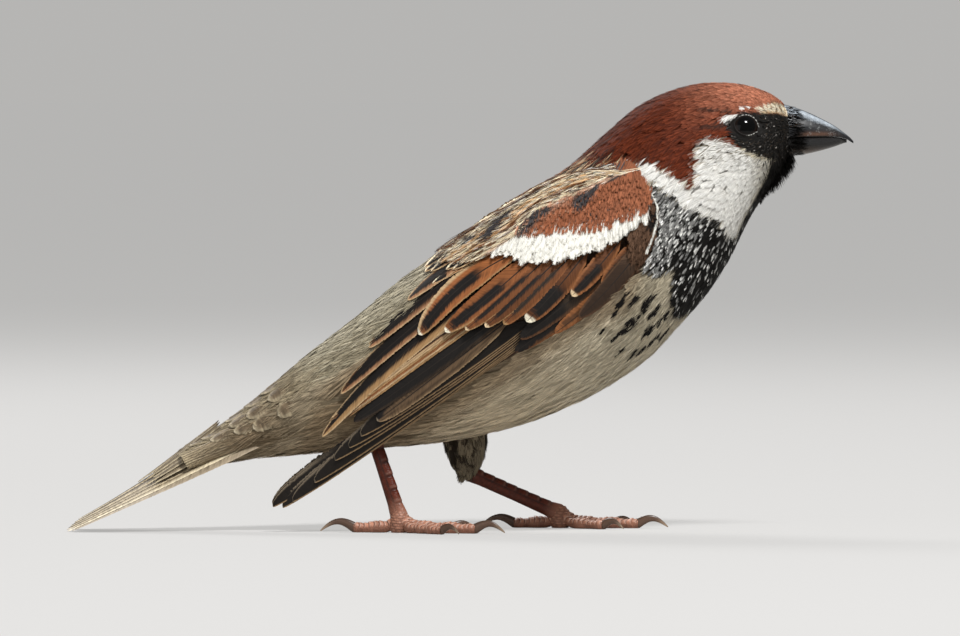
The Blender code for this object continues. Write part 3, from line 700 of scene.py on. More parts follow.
def make_bill(upper, name, material):
    """One half of the bill, closed by its own inner face."""
    grid = bill_half(upper)
    if upper:
        # The nostril is a dimple on each flank, with a low rim.
        for side, _ in SIDES:
            flank = (grid[..., 1] * side > 0.3)
            near = ((grid[..., 0] - NOSTRIL[0]) / NOSTRIL[2]) ** 2 + ((grid[..., 2]
                                                                       - NOSTRIL[1]) / NOSTRIL[3]) ** 2
            dip = np.exp(-near * 1.3) * 0.55 - np.exp(-((near - 2.2) ** 2) / 1.2) * 0.1
            grid[..., 1] -= np.where(flank, side * dip, 0)
            grid[..., 2] -= np.where(flank, 0.4 * dip, 0)
    points = grid.reshape(-1, 3)
    this = np.arange(BILL_RINGS - 1) * BILL_SIDES
    after = this + BILL_SIDES
    inner_faces = np.stack([this, after, after + BILL_SIDES - 1, this + BILL_SIDES - 1], -1)
    faces = np.vstack([grid_faces(BILL_RINGS, BILL_SIDES), inner_faces])
    if upper:
        faces = faces[:, ::-1]
    x, _, z = points.T
    # A slate painted highlight along the ridge, near black on the flanks, brown along the gape and towards the
    # lower base, and painted shade along the seam between the halves.
    edge, culmen = bill_curve(x, 2), bill_curve(x, 1)
    gape = bell((z - edge - 0.45) / 0.42) * ease(66.8, 62, x) * ease(57.5, 60, x)
    under = ease(66.6, 65, z) * ease(67, 60, x)
    # Painted shade along the seam between the halves.
    seam_shade = bell((z - edge) / 0.13) * ease(67.3, 66.6, x)
    # The upper half alone has a ridge with that painted highlight, a painted sheen that stands for a pale
    # bluish reflection high on its flanks and fading towards the tip, and fine scratches.
    ridge = upper * ease(0.6, 0.97, (z - 67.6) / np.maximum(culmen - 67.6, 0.2))
    high = (z - edge) / np.maximum(culmen - edge, 0.2)
    painted_sheen = ease(0.62, 0.86, high + 0.05 * ripple(x, z, 0.12)) * ease(67.5, 63.5, x)
    painted_sheen = upper * painted_sheen * (0.75 + 0.25 * ripple(x, z, 0.07, 2)) * ease(0.99, 0.93, high)
    scratch = (ripple(x * 1.2, z, 0.06, 5) > 0.62) * ease(59, 60.5, x) * ease(66.5, 65, x) * upper
    base = np.tile((0.013, 0.013, 0.014), (len(x), 1))
    for share, colour in ((gape, (0.085, 0.045, 0.03)), (under, (0.048, 0.029, 0.017)),
                          (ridge * 0.5, (0.1, 0.11, 0.12)), (painted_sheen * 0.8, (0.52, 0.58, 0.64)),
                          (scratch * 0.35, (0.3, 0.31, 0.3)), (seam_shade, (0.003, 0.003, 0.003))):
        base = blend(base, colour, share[:, None])
    uv = np.stack(pairs(np.linspace(0, 1, BILL_RINGS), np.linspace(0, 0.9, BILL_SIDES)), -1)
    show(name, "bill_horn", material, (points, faces, base, uv), (name,))


horn_material, tree, shader = new_material("bill horn", 0.33, 0.35)
colour = add(tree, "Attribute", attribute_name="plumage")
place = add(tree, "TexCoord")
stretch = add(tree, "Mapping", {"Scale": (0.25, 1, 1)})
grain = add(tree, "TexNoise", {"Scale": 1400, "Detail": 4})
tone = add(tree, "MapRange", {"To Min": 0.6, "To Max": 1.5})
mix = add(tree, "Mix", {"Factor": 1}, data_type="RGBA", blend_type="MULTIPLY")
bump = add(tree, "Bump", {"Strength": 0.25, "Distance": 0.00012})
wire(tree, (place, "Object", stretch, "Vector"), (stretch, "Vector", grain, "Vector"),
     (grain, "Fac", tone, "Value"),
     (grain, "Fac", bump, "Height"), (colour, "Color", mix, "A"), (tone, "Result", mix, "B"),
     (mix, "Result", shader, "Base Color"), (bump, "Normal", shader, "Normal"))

make_bill(True, "bill_upper", horn_material)
make_bill(False, "bill_lower", horn_material)


# ---- The coat ----
# Every feather of the head and body is a tuft of separate barbs over a small leaf. They lie back along the
# body and part round the eyes, and are smallest on the face. Bristles, spots and flecks lie on top.


def envelope(v):
    """A contour feather's outline: its half width as a share of its greatest, along its length."""
    v = np.clip(v, 0, 1)
    return v**0.9 * (1 - v) ** 0.42 / 0.4415


def make_tuft(per_side, ratio, barb_width, reach, tilt):
    """One feather of unit length: its points (u, v, w), faces, and each point's barb and share along it."""
    points, faces, barb, share = [], [], [], []
    # The leaf under the barbs.
    for v in (0, 0.3, 0.55, 0.75, 0.88):
        for u in (-0.8, 0, 0.8):
            points.append((u * ratio * envelope(max(v, 0.05)), v, -0.02 - 0.012 * abs(u)))
            barb.append(0)
            share.append(0.25)
    for a in (0, 1, 3, 4, 6, 7, 9, 10):
        faces += [(a, a + 1, a + 4), (a, a + 4, a + 3)]
    number = 1
    for side, _ in SIDES:
        for k in range(per_side):
            start = 0.04 + 0.82 * (k + (0.25 if side > 0 else 0)) / per_side
            end = min(1, start + reach * (1 - 0.45 * start))
            out = side * ratio * (envelope(min(end, 0.985)) if end < 0.985 else 0.28 * (1 - k / per_side)
                                  + 0.04)
            path = [np.array([out * t**0.85, start + (end - start) * t]) for t in (0, 0.35, 0.7, 1)]
            first = len(points)
            for n, (t, half) in enumerate(((0, 0.5), (0.35, 0.5), (0.7, 0.36))):
                way = path[n + 1] - path[n]
                perpendicular = np.array([way[1], -way[0]]) / max(np.linalg.norm(way), 1e-6)
                half = barb_width * half
                for sign in (-1, 1):
                    spot = path[n] + perpendicular * half * sign
                    height = sign * side * tilt * half + 0.012 * math.sin(t * 3)
                    points.append((spot[0], spot[1], height))
                    barb.append(number)
                    share.append(t)
            points.append((path[3][0], path[3][1], 0))
            barb.append(number)
            share.append(1)
            faces += [(first + a, first + b, first + c)
                      for a, b, c in ((0, 1, 3), (0, 3, 2), (2, 3, 5), (2, 5, 4), (4, 5, 6))]
            number += 1
    return dict(points=np.array(points), faces=np.array(faces), barb=np.array(barb), share=np.array(share),
                barbs=number)


def lagrange(v):
    """Weights of the root, middle and tip places at v along a feather."""
    return np.stack([(2 * v - 1) * (v - 1), 4 * v * (1 - v), v * (2 * v - 1)], -1)


def barb_noise(tuft, count, rng):
    """A random number for each barb of each of count feathers, read at all their points."""
    return rng.normal(0, 1, (count, tuft["barbs"]))[:, tuft["barb"]]


def grow_feathers(tuft, stations, normals, length, low, high, rng, spread, mirror=True):
    """Points of many feathers, by the stations and normals of root, middle and tip, and the heights."""
    shape, count = tuft["points"], len(stations)
    v = shape[:, 1]
    weights = lagrange(v)
    centre = np.einsum("kj,njc->nkc", weights, stations)
    normal = unit(np.einsum("kj,njc->nkc", weights, normals))
    slope = np.stack([4 * v - 3, 4 - 8 * v, 4 * v - 1], -1)
    way = unit(np.einsum("kj,njc->nkc", slope, stations))
    beside = unit(np.cross(normal, way))
    jitter = barb_noise(tuft, count, rng)
    bounce = barb_noise(tuft, count, rng)
    flip = rng.choice((-1, 1), count)[:, None] if mirror else np.ones((count, 1))
    u = shape[:, 0] * flip + jitter * spread * tuft["share"] ** 1.5
    w = shape[:, 2] + 0.22 * bounce * spread * tuft["share"]
    low, high = np.broadcast_to(low, count)[:, None], high[:, None]
    height = low + (high - low) * v + w * length[:, None]
    return centre + beside * (u * length[:, None])[..., None] + normal * height[..., None]


TUFT_PATCH = 0.003  # each tuft's own patch of the unwrap


def show_tufts(name, tuft, points, tint, roots, slot="plumage"):
    """Tufts grown from one tuft as one piece. roots is where each begins on the unwrap."""
    count, each = points.shape[:2]
    faces = (tuft["faces"][None] + (np.arange(count) * each)[:, None, None]).reshape(-1, 3)
    uv = roots[:, None] + TUFT_PATCH * (tuft["points"][:, :2] - (0, 0.5))
    show(name, slot, coat_material, (points.reshape(-1, 3), faces, tint.reshape(-1, 3).clip(0, 1),
                                     uv.reshape(-1, 2)))


def stations_at(*places):
    """The stations and normals of feathers whose root, middle and tip are at these places of the body."""
    return (np.stack([body_point(*place) for place in places], 1),
            np.stack([body_tangents(*place)[2] for place in places], 1))


def flow(s, turn):
    """The way feathers lie: back along the body, and parting round the eyes."""
    along, around, normal = body_tangents(s, turn)
    way = unit(along)
    here = body_point(s, turn)
    for side, _ in SIDES:
        middle, out, _, _ = eye_frame(side)
        away = here - middle
        away = away - out * (away @ out)[:, None]
        distance = np.maximum(np.linalg.norm(away, axis=1), 1.6)
        toward = away / distance[:, None]
        near = (here[:, 1] * side > 0) * np.minimum(1, (2.5 / distance) ** 2) * (distance < 8)
        way = way - near[:, None] * (2 * (way * toward).sum(1)[:, None] * toward - way)
    return unit(way - normal * (way * normal).sum(1)[:, None])


def walk(s, turn, way, distance):
    """Where a step along the surface ends."""
    along, around, _ = body_tangents(s, turn)
    aa, ab, bb = (along**2).sum(1), (along * around).sum(1), (around**2).sum(1)
    wa, wb = (way * along).sum(1), (way * around).sum(1)
    det = np.maximum(aa * bb - ab * ab, 1e-9)
    return s + distance * (bb * wa - ab * wb) / det, turn + distance * (aa * wb - ab * wa) / det


FEATHER_LENGTHS = np.array((
    (0, 1.25), (0.6, 1.5), (1.2, 1.8), (2, 2.4), (3, 3.2), (4, 4.2), (5, 5.2), (6, 6.2), (7, 7.4), (8, 8.4),
    (10, 9.4), (12, 9.8), (13, 9),
))
COAT_END = 13.2


def feather_length(s):
    """How long the feathers of a section are."""
    return np.interp(s, FEATHER_LENGTHS[:, 0], FEATHER_LENGTHS[:, 1])


def coat_roots(start, end, density, rng):
    """Root places of the coat between two sections, in staggered rows."""
    all_s, all_turn = [], []
    s, row = start, 0
    while s < end:
        length = float(feather_length(s))
        ring = body_point(np.full(240, s), np.linspace(0, TURN, 240))
        girth = np.linalg.norm(np.diff(ring, axis=0), axis=1).sum()
        pace = np.linalg.norm(body_point([s + 0.05], [0]) - body_point([s], [0])) / 0.05
        count = max(8, int(girth / (length * 0.36 / density)))
        turn = (np.arange(count) + 0.5 * (row % 2)) / count * TURN
        turn = turn + rng.normal(0, 0.22, count) * TURN / count
        step = length * 0.25 / density / pace
        all_s.append(s + rng.normal(0, 0.28, count) * step)
        all_turn.append(turn)
        s += step
        row += 1
    return np.clip(np.concatenate(all_s), 0, COAT_END), np.concatenate(all_turn)


def clear_of_wing(s, turn, margin):
    """Whether places are less than a margin inside the closed wing."""
    place = body_point(s, turn)
    return under_wing(place[:, 0], place[:, 2]) < margin + 1.3 * on_back(turn)


def clear_of_eyes(s, turn, reach):
    """Whether places are more than reach outside the lids."""
    place = body_point(s, turn)
    keep = np.ones(len(s), bool)
    for side, _ in SIDES:
        middle, _, ahead, up = eye_frame(side)
        rise, run = (place - middle) @ up, (place - middle) @ ahead
        keep &= (np.hypot(rise, run) > almond(np.arctan2(rise, run)) + reach) | (place[:, 1] * side < 0)
    return keep


def coat(name, start, end, tuft, density, rng, lift=1, spread=0.04, part=None, bury=0.95):
    """A stretch of the coat as one piece. bury is how deep its feathers start, in depths of the coat."""
    s, turn = coat_roots(start, end, density, rng)
    use = clear_of_wing(s, turn, 1.6) & clear_of_eyes(s, turn, 0.45)
    if part:
        use &= (np.sin(turn) < 0.25) == (part == "below")
    s, turn = s[use], turn[use]
    length = feather_length(s) * rng.uniform(0.85, 1.12, len(s))
    # Those that would end over the eye are cut short, and dropped if that is not enough.
    for _ in range(3):
        s1, turn1 = walk(s, turn, flow(s, turn), length / 2)
        s2, turn2 = walk(s1, turn1, flow(s1, turn1), length / 2)
        over = ~clear_of_eyes(s2, turn2, 0.42)
        length = np.where(over, length * 0.6, length)
    s, turn, s1, turn1, s2, turn2, length = (q[~over] for q in (s, turn, s1, turn1, s2, turn2, length))
    depth, count = coat_depth(s), len(s)
    stations, normals = stations_at((s, turn), (s1, turn1), (s2, turn2))
    high = depth * (0.92 * lift - 0.95) + rng.uniform(-0.07, 0.1, count) * depth
    # Tips that reach under the closed wing lie down.
    under = under_wing(stations[:, 2, 0], stations[:, 2, 2])
    over = on_back(turn2)
    high -= 1.9 * (1 - over) * ease(0.1, 1.5, under) + 0.8 * over * ease(0.8, 2.4, under)
    points = grow_feathers(tuft, stations, normals, length, -depth * bury, high, rng, spread)
    # Each barb takes the marking of the place that its tip covers.
    barb_tips = points[:, tuft["share"] >= 1].reshape(-1, 3)
    noise = rng.normal(0, 0.45, len(barb_tips)).clip(-1, 1)
    tints = (tint.reshape(count, -1, 3) for tint in plumage(barb_tips, noise))
    tip, root = (np.concatenate([q.mean(1, keepdims=True), q], 1)[:, tuft["barb"]] for q in tints)
    share = ease(0.15, 0.75, 0.55 * tuft["points"][:, 1] + 0.55 * tuft["share"])[None, :, None]
    tone = 0.07 * rng.normal(0, 1, (count, 1)) + 0.28 * barb_noise(tuft, count, rng)
    tone = 1 + tone * (1 - 0.75 * tip.mean(-1))
    show_tufts(name, tuft, points, blend(root, tip, share) * np.clip(tone, 0.5, 1.6)[..., None],
               unwrap(s, turn))


coat_material = plumage_material("contour feathers", 0.62, 0.08)
face_tuft = make_tuft(7, 0.2, 0.036, 0.62, 0.12)
head_tuft = make_tuft(9, 0.195, 0.026, 0.62, 0.08)
neck_tuft = make_tuft(12, 0.19, 0.021, 0.6, 0.08)
body_tuft = make_tuft(15, 0.18, 0.017, 0.62, 0.12)
silk_tuft = make_tuft(17, 0.15, 0.015, 0.66, 0.1)

rng = np.random.default_rng(7)
coat("coat_face", 0.02, 1.6, face_tuft, 1.13, rng, lift=1.1, bury=0.7)
coat("coat_head", 1.6, 3.6, head_tuft, 1.07, rng, bury=0.5)
coat("coat_nape", 3.6, 5.4, neck_tuft, 1.15, rng, bury=0.5)
coat("coat_breast", 5.4, 7.6, neck_tuft, 1.5, rng, part="below", bury=0.7)
coat("coat_mantle", 5.4, 8.6, body_tuft, 1.5, rng, spread=0.035, part="above")
coat("coat_belly", 7.2, 10.6, silk_tuft, 1.43, rng, lift=0.85, spread=0.025, part="below", bury=0.65)
coat("coat_back", 8.4, 10.6, body_tuft, 1.65, rng, lift=0.9, spread=0.03, part="above")
coat("coat_rump", 10.6, 13.1, body_tuft, 1.45, rng, lift=0.9, spread=0.03, part="above")
coat("coat_vent", 10.6, 13.1, silk_tuft, 1.4, rng, lift=0.85, spread=0.025, part="below")


def bristles(name, roots, ways, lengths, colour, width):
    """Fine tapered hairs, each a narrow strip that bends a little towards the ground."""
    ways = unit(ways)
    beside = unit(np.cross(ways, np.array([0.13, 0.37, 0.92])))
    points = []
    for t, wide in ((0, 1), (0.4, 0.8), (0.75, 0.5), (1, 0)):
        spine = roots + ways * (lengths * t)[:, None] - np.array([0, 0, 0.12]) * (lengths * t**2)[:, None]
        for sign in (-1, 1):
            points.append(spine + beside * (sign * wide * width / 2))
    strip = np.array([(0, 1, 3), (0, 3, 2), (2, 3, 5), (2, 5, 4), (4, 5, 6)])
    faces = (strip[None] + (np.arange(len(roots)) * 8)[:, None, None]).reshape(-1, 3)
    tint = np.repeat(colour, 8, axis=0)
    uv = np.repeat(unwrap(*near_section(roots)), 8, axis=0)
    uv = uv + np.tile(np.linspace(0, TUFT_PATCH, 8)[:, None], (len(roots), 2))
    show(name, "plumage", coat_material, (np.stack(points, 1).reshape(-1, 3), faces, tint, uv))


BRISTLE_BLACK = (0.01, 0.009, 0.008)


def bill_edge_bristles(rng):
    """Short black hairs that run forward over the base of the bill, and a beard of them under the chin."""
    count = 760
    x = rng.uniform(56.6, 58.7, count)
    around = rng.uniform(-UP, UP * 0.8, count)
    high, edge, keel, width = (bill_curve(x, column) for column in (1, 2, 3, 4))
    beside = rng.choice((-1, 1), count)
    y = beside * width * np.cos(around)
    z = edge + np.where(around > 0, high - edge, edge - keel) * np.sin(around)
    normal = unit(np.stack([0.35 + 0 * x, beside * np.cos(around), np.sin(around)], -1))
    roots = np.stack([x + bill_slant(z) * 0.8, y, z], -1) + normal * 0.08
    ways = np.array([1, 0, 0]) + normal * rng.uniform(-0.02, 0.16, (count, 1))
    ways = ways + rng.normal(0, 0.13, (count, 3))
    ways[:, 1] -= 0.25 * np.sign(y)
    ways[:, 2] -= 0.22 * np.sin(around)
    lengths = rng.uniform(1, 2.3, count) * (1 - 0.35 * (np.abs(np.sin(around)) > 0.8))
    tint = np.tile(BRISTLE_BLACK, (count, 1))
    warm = (rng.random(count) < 0.1) & (around > 0.3)
    tint[warm] = (0.22, 0.13, 0.085)
    bristles("bristles_bill", roots, ways, lengths, tint, 0.17)
    count = 900
    s, turn = rng.uniform(0, 1.7, count), DOWN + rng.normal(0, 0.55, count)
    along, _, normal = body_tangents(s, turn)
    ways = unit(along) * 0.8 + normal * (0.55 + 0.35 * ease(1.5, 0.2, s))[:, None]
    ways = ways + rng.normal(0, 0.14, (count, 3)) + np.array([0.25, 0, 0])
    lengths = (rng.uniform(1.5, 2.4, count) * ease(1.9, 0.9, s)).clip(0.7, 3)
    bristles("bristles_chin", body_point(s, turn, 0.15), ways, lengths, np.tile(BRISTLE_BLACK, (count, 1)),
             0.16)


bill_edge_bristles(rng)


def overlay(name, tips, sizes, colours, tuft, rng):
    """Small feathers on top of the coat of both sides, given by the side view places of their tips."""
    for side, letter in SIDES:
        s, turn = on_body(tips[:, 0], tips[:, 1], side)
        seen = np.abs(body_point(s, turn)[:, 1]) > 0.8  # the others would gather on the middle line
        s, turn, size, colour = s[seen], turn[seen], sizes[seen], colours[seen]
        way = -flow(s, turn)
        root = walk(s, turn, way, size)
        stations, normals = stations_at(root, walk(s, turn, way, size / 2), (s, turn))
        points = grow_feathers(tuft, stations, normals, size, -0.35, rng.uniform(0.08, 0.2, len(s)), rng, 0.05)
        tint = colour[:, None] * (1 + 0.12 * barb_noise(tuft, len(s), rng)[..., None])
        show_tufts(f"{name}_{letter}", tuft, points, tint, unwrap(*root))


# Black breast streaks: the middle of each, and half its length and width.
BREAST_STREAKS = (
    (27.7, 39.2, 1.1, 0.55), (30.1, 39.7, 1.4, 0.55), (32.3, 39.1, 1.5, 0.6), (33.7, 37.6, 1.6, 0.6),
    (29.3, 35.4, 1.9, 1), (32.3, 34.2, 1.5, 0.8), (35.1, 36.2, 1.4, 0.6), (26.6, 37.4, 0.8, 0.22),
    (33.6, 32.7, 1.6, 0.32), (27.8, 31, 1.4, 0.22), (29.9, 30.2, 1.2, 0.22), (27.2, 33.8, 1.6, 0.22),
    (31.4, 30.9, 1.4, 0.18), (24.8, 34.6, 0.9, 0.12), (35.4, 33.6, 1.4, 0.24), (28.7, 40.6, 1, 0.35),
    (31.4, 37.4, 1.3, 0.35),
)
spot_tuft = make_tuft(6, 0.1, 0.024, 0.7, 0.08)
fleck_tuft = make_tuft(3, 0.085, 0.05, 0.65, 0.12)


def breast_spots(rng):
    """Black arrowheads scattered below the bib."""
    tips, sizes = [], []
    for sx, sz, reach, wide in BREAST_STREAKS:
        for _ in range(int(5 + 17 * reach * wide)):
            ahead, beside = rng.uniform(-1, 0.6) * reach, rng.uniform(-1, 1) * wide * 0.8
            beside = beside * (1 - 0.6 * abs(ahead) / reach)
            tips.append((sx + 0.68 * ahead + 0.73 * beside, sz + 0.73 * ahead - 0.68 * beside))
            sizes.append(1.1 + 0.8 * reach)
    sizes = np.array(sizes) * rng.uniform(0.8, 1.15, len(sizes))
    overlay("breast_spots", np.array(tips), sizes, np.tile((0.014, 0.012, 0.011), (len(tips), 1)), spot_tuft,
            rng)


def bib_flecks(rng):
    """Grey and white fringes on the bib's feathers, crowded beside the wing and rare at the throat."""
    count = 5200
    x, z = rng.uniform(29.5, 52, count), rng.uniform(36, 60, count)
    ahead = (x - 33) * 0.8 - (z - 55) * 0.6  # how far forward of the wing's front edge
    clump = ripple(x * 1.3 - z * 0.6, z * 0.9 + x * 0.4, 0.55, 4)
    chance = 0.85 * ease(10.5, 2, ahead) + 0.14 + 0.55 * clump
    use = (within(MARKS["bib"], x, z) > 0.3) & (rng.random(count) < chance * ease(59, 56, z))
    use &= inside_wing(x, z) < 0
    x, z, clump = x[use], z[use], clump[use]
    count = len(x)
    white = rng.random(count) < 0.35 + 0.5 * clump
    bright = np.where(white, rng.uniform(0.55, 1, count), rng.uniform(0.1, 0.35, count))
    colours = np.array((0.9, 0.89, 0.85)) * bright[:, None]
    sizes = np.where(white, rng.uniform(1, 2, count), rng.uniform(1.4, 2.6, count))
    overlay("bib_flecks", np.stack([x, z], -1), sizes, colours, fleck_tuft, rng)


def mask_flecks(rng):
    """Greyish hairs on the black of the lores and round the eye, a few of them white."""
    x, z = rng.uniform(45.5, 58, 900), rng.uniform(62.5, 72, 900)
    use = (within(MARKS["mask"], x, z) > 0.4) & (np.hypot(x - EYE_VIEW[0], z - EYE_VIEW[1]) > 3.1)
    x, z = x[use], z[use]
    bright = np.where(rng.random(len(x)) < 0.05, rng.uniform(0.3, 0.6, len(x)),
                      rng.uniform(0.015, 0.075, len(x)))
    colours = np.array((1, 0.92, 0.84)) * bright[:, None]
    overlay("mask_flecks", np.stack([x, z], -1), rng.uniform(0.7, 1.3, len(x)), colours, fleck_tuft, rng)


breast_spots(rng)
bib_flecks(rng)
mask_flecks(rng)


def drumstick_coat(rng):
    """Short hairy feathers down the left drumstick, dark and speckled with grey."""
    tuft, count = body_tuft, 300
    t, turn = rng.uniform(0.05, 0.9, count), rng.uniform(0, TURN, count)
    length = rng.uniform(2.6, 3.6, count)
    run = unit(np.array(LEGS["L"]["ankle"]) - thigh_point(np.zeros(1), np.zeros(1))[0])
    stations, normals = [], []
    for step in (0, 0.5, 1):
        far = t + step * length / THIGH_LENGTH
        place, opposite = (thigh_point(np.minimum(far, 1), q) for q in (turn, turn + math.pi))
        middle = (place + opposite) / 2
        # Past the ankle they close round the shank.
        ring = 1 - 0.55 * np.clip(far - 0.95, 0, 1)
        beyond = run * (np.maximum(far - 1, 0) * THIGH_LENGTH)[:, None]
        place = middle + (place - middle) * ring[:, None] + beyond
        stations.append(place)
        normals.append(unit(place - middle - run * ((place - middle) @ run)[:, None]))
    points = grow_feathers(tuft, np.stack(stations, 1), np.stack(normals, 1), length, -0.5,
                           rng.uniform(-0.2, 0.25, count), rng, 0.06)
    speckle = 0.6 * rng.random((count, 1)) + 0.4 * rng.random((count, tuft["barbs"]))[:, tuft["barb"]]
    front = ease(1.5, 5, points[..., 0]) - 0.5 * ease(1, -1.5, points[..., 0])
    pale = ease(0.52, 0.66, speckle + 0.22 * front + 0.1 * tuft["share"])[..., None]
    tint = blend((0.035, 0.026, 0.018), (0.27, 0.225, 0.155), pale)
    show_tufts("coat_drumstick", tuft, points, tint, thigh_unwrap(t, turn))


drumstick_coat(rng)


# ---- The wings ----
# Every larger feather is a blade: a shaft with barbs close along both sides, which split a little at the
# edge. Small hairy coverts hide their roots. The two wings mirror each other.


# What a blade is like where its own table says nothing. Widths and sizes are in millimetres.
BLADE = dict(bow=0, tilt=0.12, blunt=5, waist=0.5, sweep=0.15, camber=0.1, gap=0.22, columns=5, ragged=0.025,
             nicks=0.04, shaft=(0.02, 0.015, 0.012), shaft_width=0.13, high=(-1.5, -0.5), tone=0.1)


def blade(surface, feather, rng):
    """One feather: points, quads and colours, from a root and a tip on a surface of (a, b, height)."""
    f = BLADE | feather
    root, tip = np.array(f["root"], float), np.array(f["tip"], float)
    length = np.linalg.norm(tip - root)
    way = (tip - root) / length
    normal = np.array([-way[1], way[0]])  # towards the lower edge
    low, high = f["high"]
    rows = max(12, int(length / f["gap"]))
    start = np.linspace(0, 1, rows + 1)
    jitter = rng.normal(0, f["ragged"], (2, rows + 1)) - (rng.random((2, rows + 1)) < f["nicks"]) * 0.1
    tone = 1 + f["tone"] * rng.normal(0, 1, (2, rows + 1))
    lift = rng.normal(0, 0.01, (2, rows + 1))
    noise = rng.normal(0, 1, (2, rows + 1))
    c = np.linspace(0, 1, f["columns"] + 1)
    v = start[:, None] + f["sweep"] * (1 - start[:, None]) * c[None]
    swell = f["waist"] + (1 - f["waist"]) * ease(0, 0.45, v)
    swell = swell * np.sqrt(np.clip(1 - v ** f["blunt"], 0, 1))
    points, colours, faces, count = [], [], [], 0

    def vane_place(v, lateral):
        return root + (tip - root) * v[..., None] + normal * (f["bow"] * 4 * v * (1 - v) + lateral)[..., None]

    for k, (side, width) in enumerate(((-1, f["upper"]), (1, f["lower"]))):
        half = width * swell
        lateral = side * half * (c[None] * (1 + jitter[k][:, None] * c[None] ** 3))
        place = vane_place(v, lateral)
        height = low + (high - low) * v**0.8
        height = height + side * f["tilt"] * c[None] - f["camber"] * c[None] ** 2 + lift[k][:, None] * c[None]
        points.append(surface(place[..., 0].ravel(), place[..., 1].ravel(), height.ravel()))
        tint = paint(f["ground"], f["marks"], v, side, lateral, half * (1 - c[None]), (1 - v) * length,
                     noise[k][:, None])
        colours.append((tint * np.clip(tone[k], 0.6, 1.4)[:, None, None]).reshape(-1, 3))
        grid = grid_faces(rows + 1, f["columns"] + 1) + count
        faces.append(grid[:, ::side])
        count += v.size
    # The shaft, a low ridge that thins to the tip.
    v = np.linspace(0, 0.985, max(8, rows // 3))
    for offset, ridge in ((-1, 0), (0, 0.075), (1, 0)):
        place = vane_place(v, f["shaft_width"] * (1 - 0.7 * v) * offset)
        points.append(surface(place[:, 0], place[:, 1], low + (high - low) * v**0.8 + ridge * (1 - 0.6 * v)))
        colours.append(np.tile(f["shaft"], (len(v), 1)))
    faces.append(grid_faces(3, len(v)) + count)
    return np.vstack(points), np.vstack(faces), np.vstack(colours)


def paint(ground, marks, v, side, lateral, edge, tip, noise):
    """The colours of a blade. Each mark is a kind, a colour and its sizes. v is a share of the length."""
    colour = np.empty(v.shape + (3,))
    colour[:] = ground
    for kind, tint, wide, *more in marks:
        if kind == "core":  # a dark middle, by its width, its shift and the shares where it starts and ends
            shift, first, last = more
            share = ease(-0.1, 0.35, 1 - ((lateral - shift) / wide) ** 2 + 0.12 * noise)
            share = share * ease(first - 0.06, first + 0.06, v + 0.01 * noise)
            share = share * ease(last + 0.035, last - 0.035, v + 0.012 * noise)
        elif kind == "tip":
            share = ease(wide * 1.25, wide * 0.75, tip + 0.12 * wide * noise)
        elif kind == "lines":  # fine stripes along the shaft, by their pace and strength
            share = more[0] * ease(0.1, 0.7, np.sin(lateral * TURN / wide + 2 * v) + 0.3 * noise)
        elif kind == "base":  # the root, by its share of the length
            share = ease(wide + 0.12, wide - 0.12, v + 0.02 * noise)
        else:  # a fringe along both edges or one, from a share of the length on
            rim = np.minimum(edge, 0.8 * tip)
            share = ease(wide * 1.35, wide * 0.7, rim + 0.1 * wide * noise)
            if kind in ("upper", "lower"):
                share = share * ((side < 0) == (kind == "upper"))
            if more:
                share = share * ease(more[0] - 0.08, more[0] + 0.08, v)
        colour = blend(colour, tint, np.broadcast_to(share, v.shape)[..., None])
    return colour


def blades(name, surface, feathers, rng, slot, replaces=(), flip=False):
    """Many blades as one piece, each with its own patch of the unwrap."""
    shapes, uvs, count = [], [], 0
    cells = math.ceil(math.sqrt(len(feathers)))
    for k, feather in enumerate(feathers):
        points, faces, tint = blade(surface, feather, rng)
        low = points.min(0)
        span = np.maximum(points.max(0) - low, 1e-6)
        cell = np.array([k % cells, k // cells]) / cells
        uvs.append(((points - low) / span)[:, (0, 2)] * 0.9 / cells + cell + 0.05 / cells)
        shapes.append((points, faces + count, tint))
        count += len(points)
    points, faces, tint = (np.vstack(part) for part in zip(*shapes))
    if flip:
        faces = faces[:, ::-1]
    show(name, slot, vane_material, (points, faces, tint.clip(0, 1), np.vstack(uvs)), replaces)


vane_material = plumage_material("vanes", 0.55, 0.2)

INK = (0.01, 0.008, 0.007)
SEPIA = (0.034, 0.022, 0.014)
UMBER = (0.105, 0.046, 0.02)
TAWNY = (0.24, 0.092, 0.032)
GOLD = (0.35, 0.205, 0.09)
BUFF = (0.5, 0.345, 0.19)
SNOW = (0.86, 0.84, 0.77)
PALE_EDGE = (0.21, 0.165, 0.115)
ROSY_BROWN = (0.33, 0.165, 0.082)

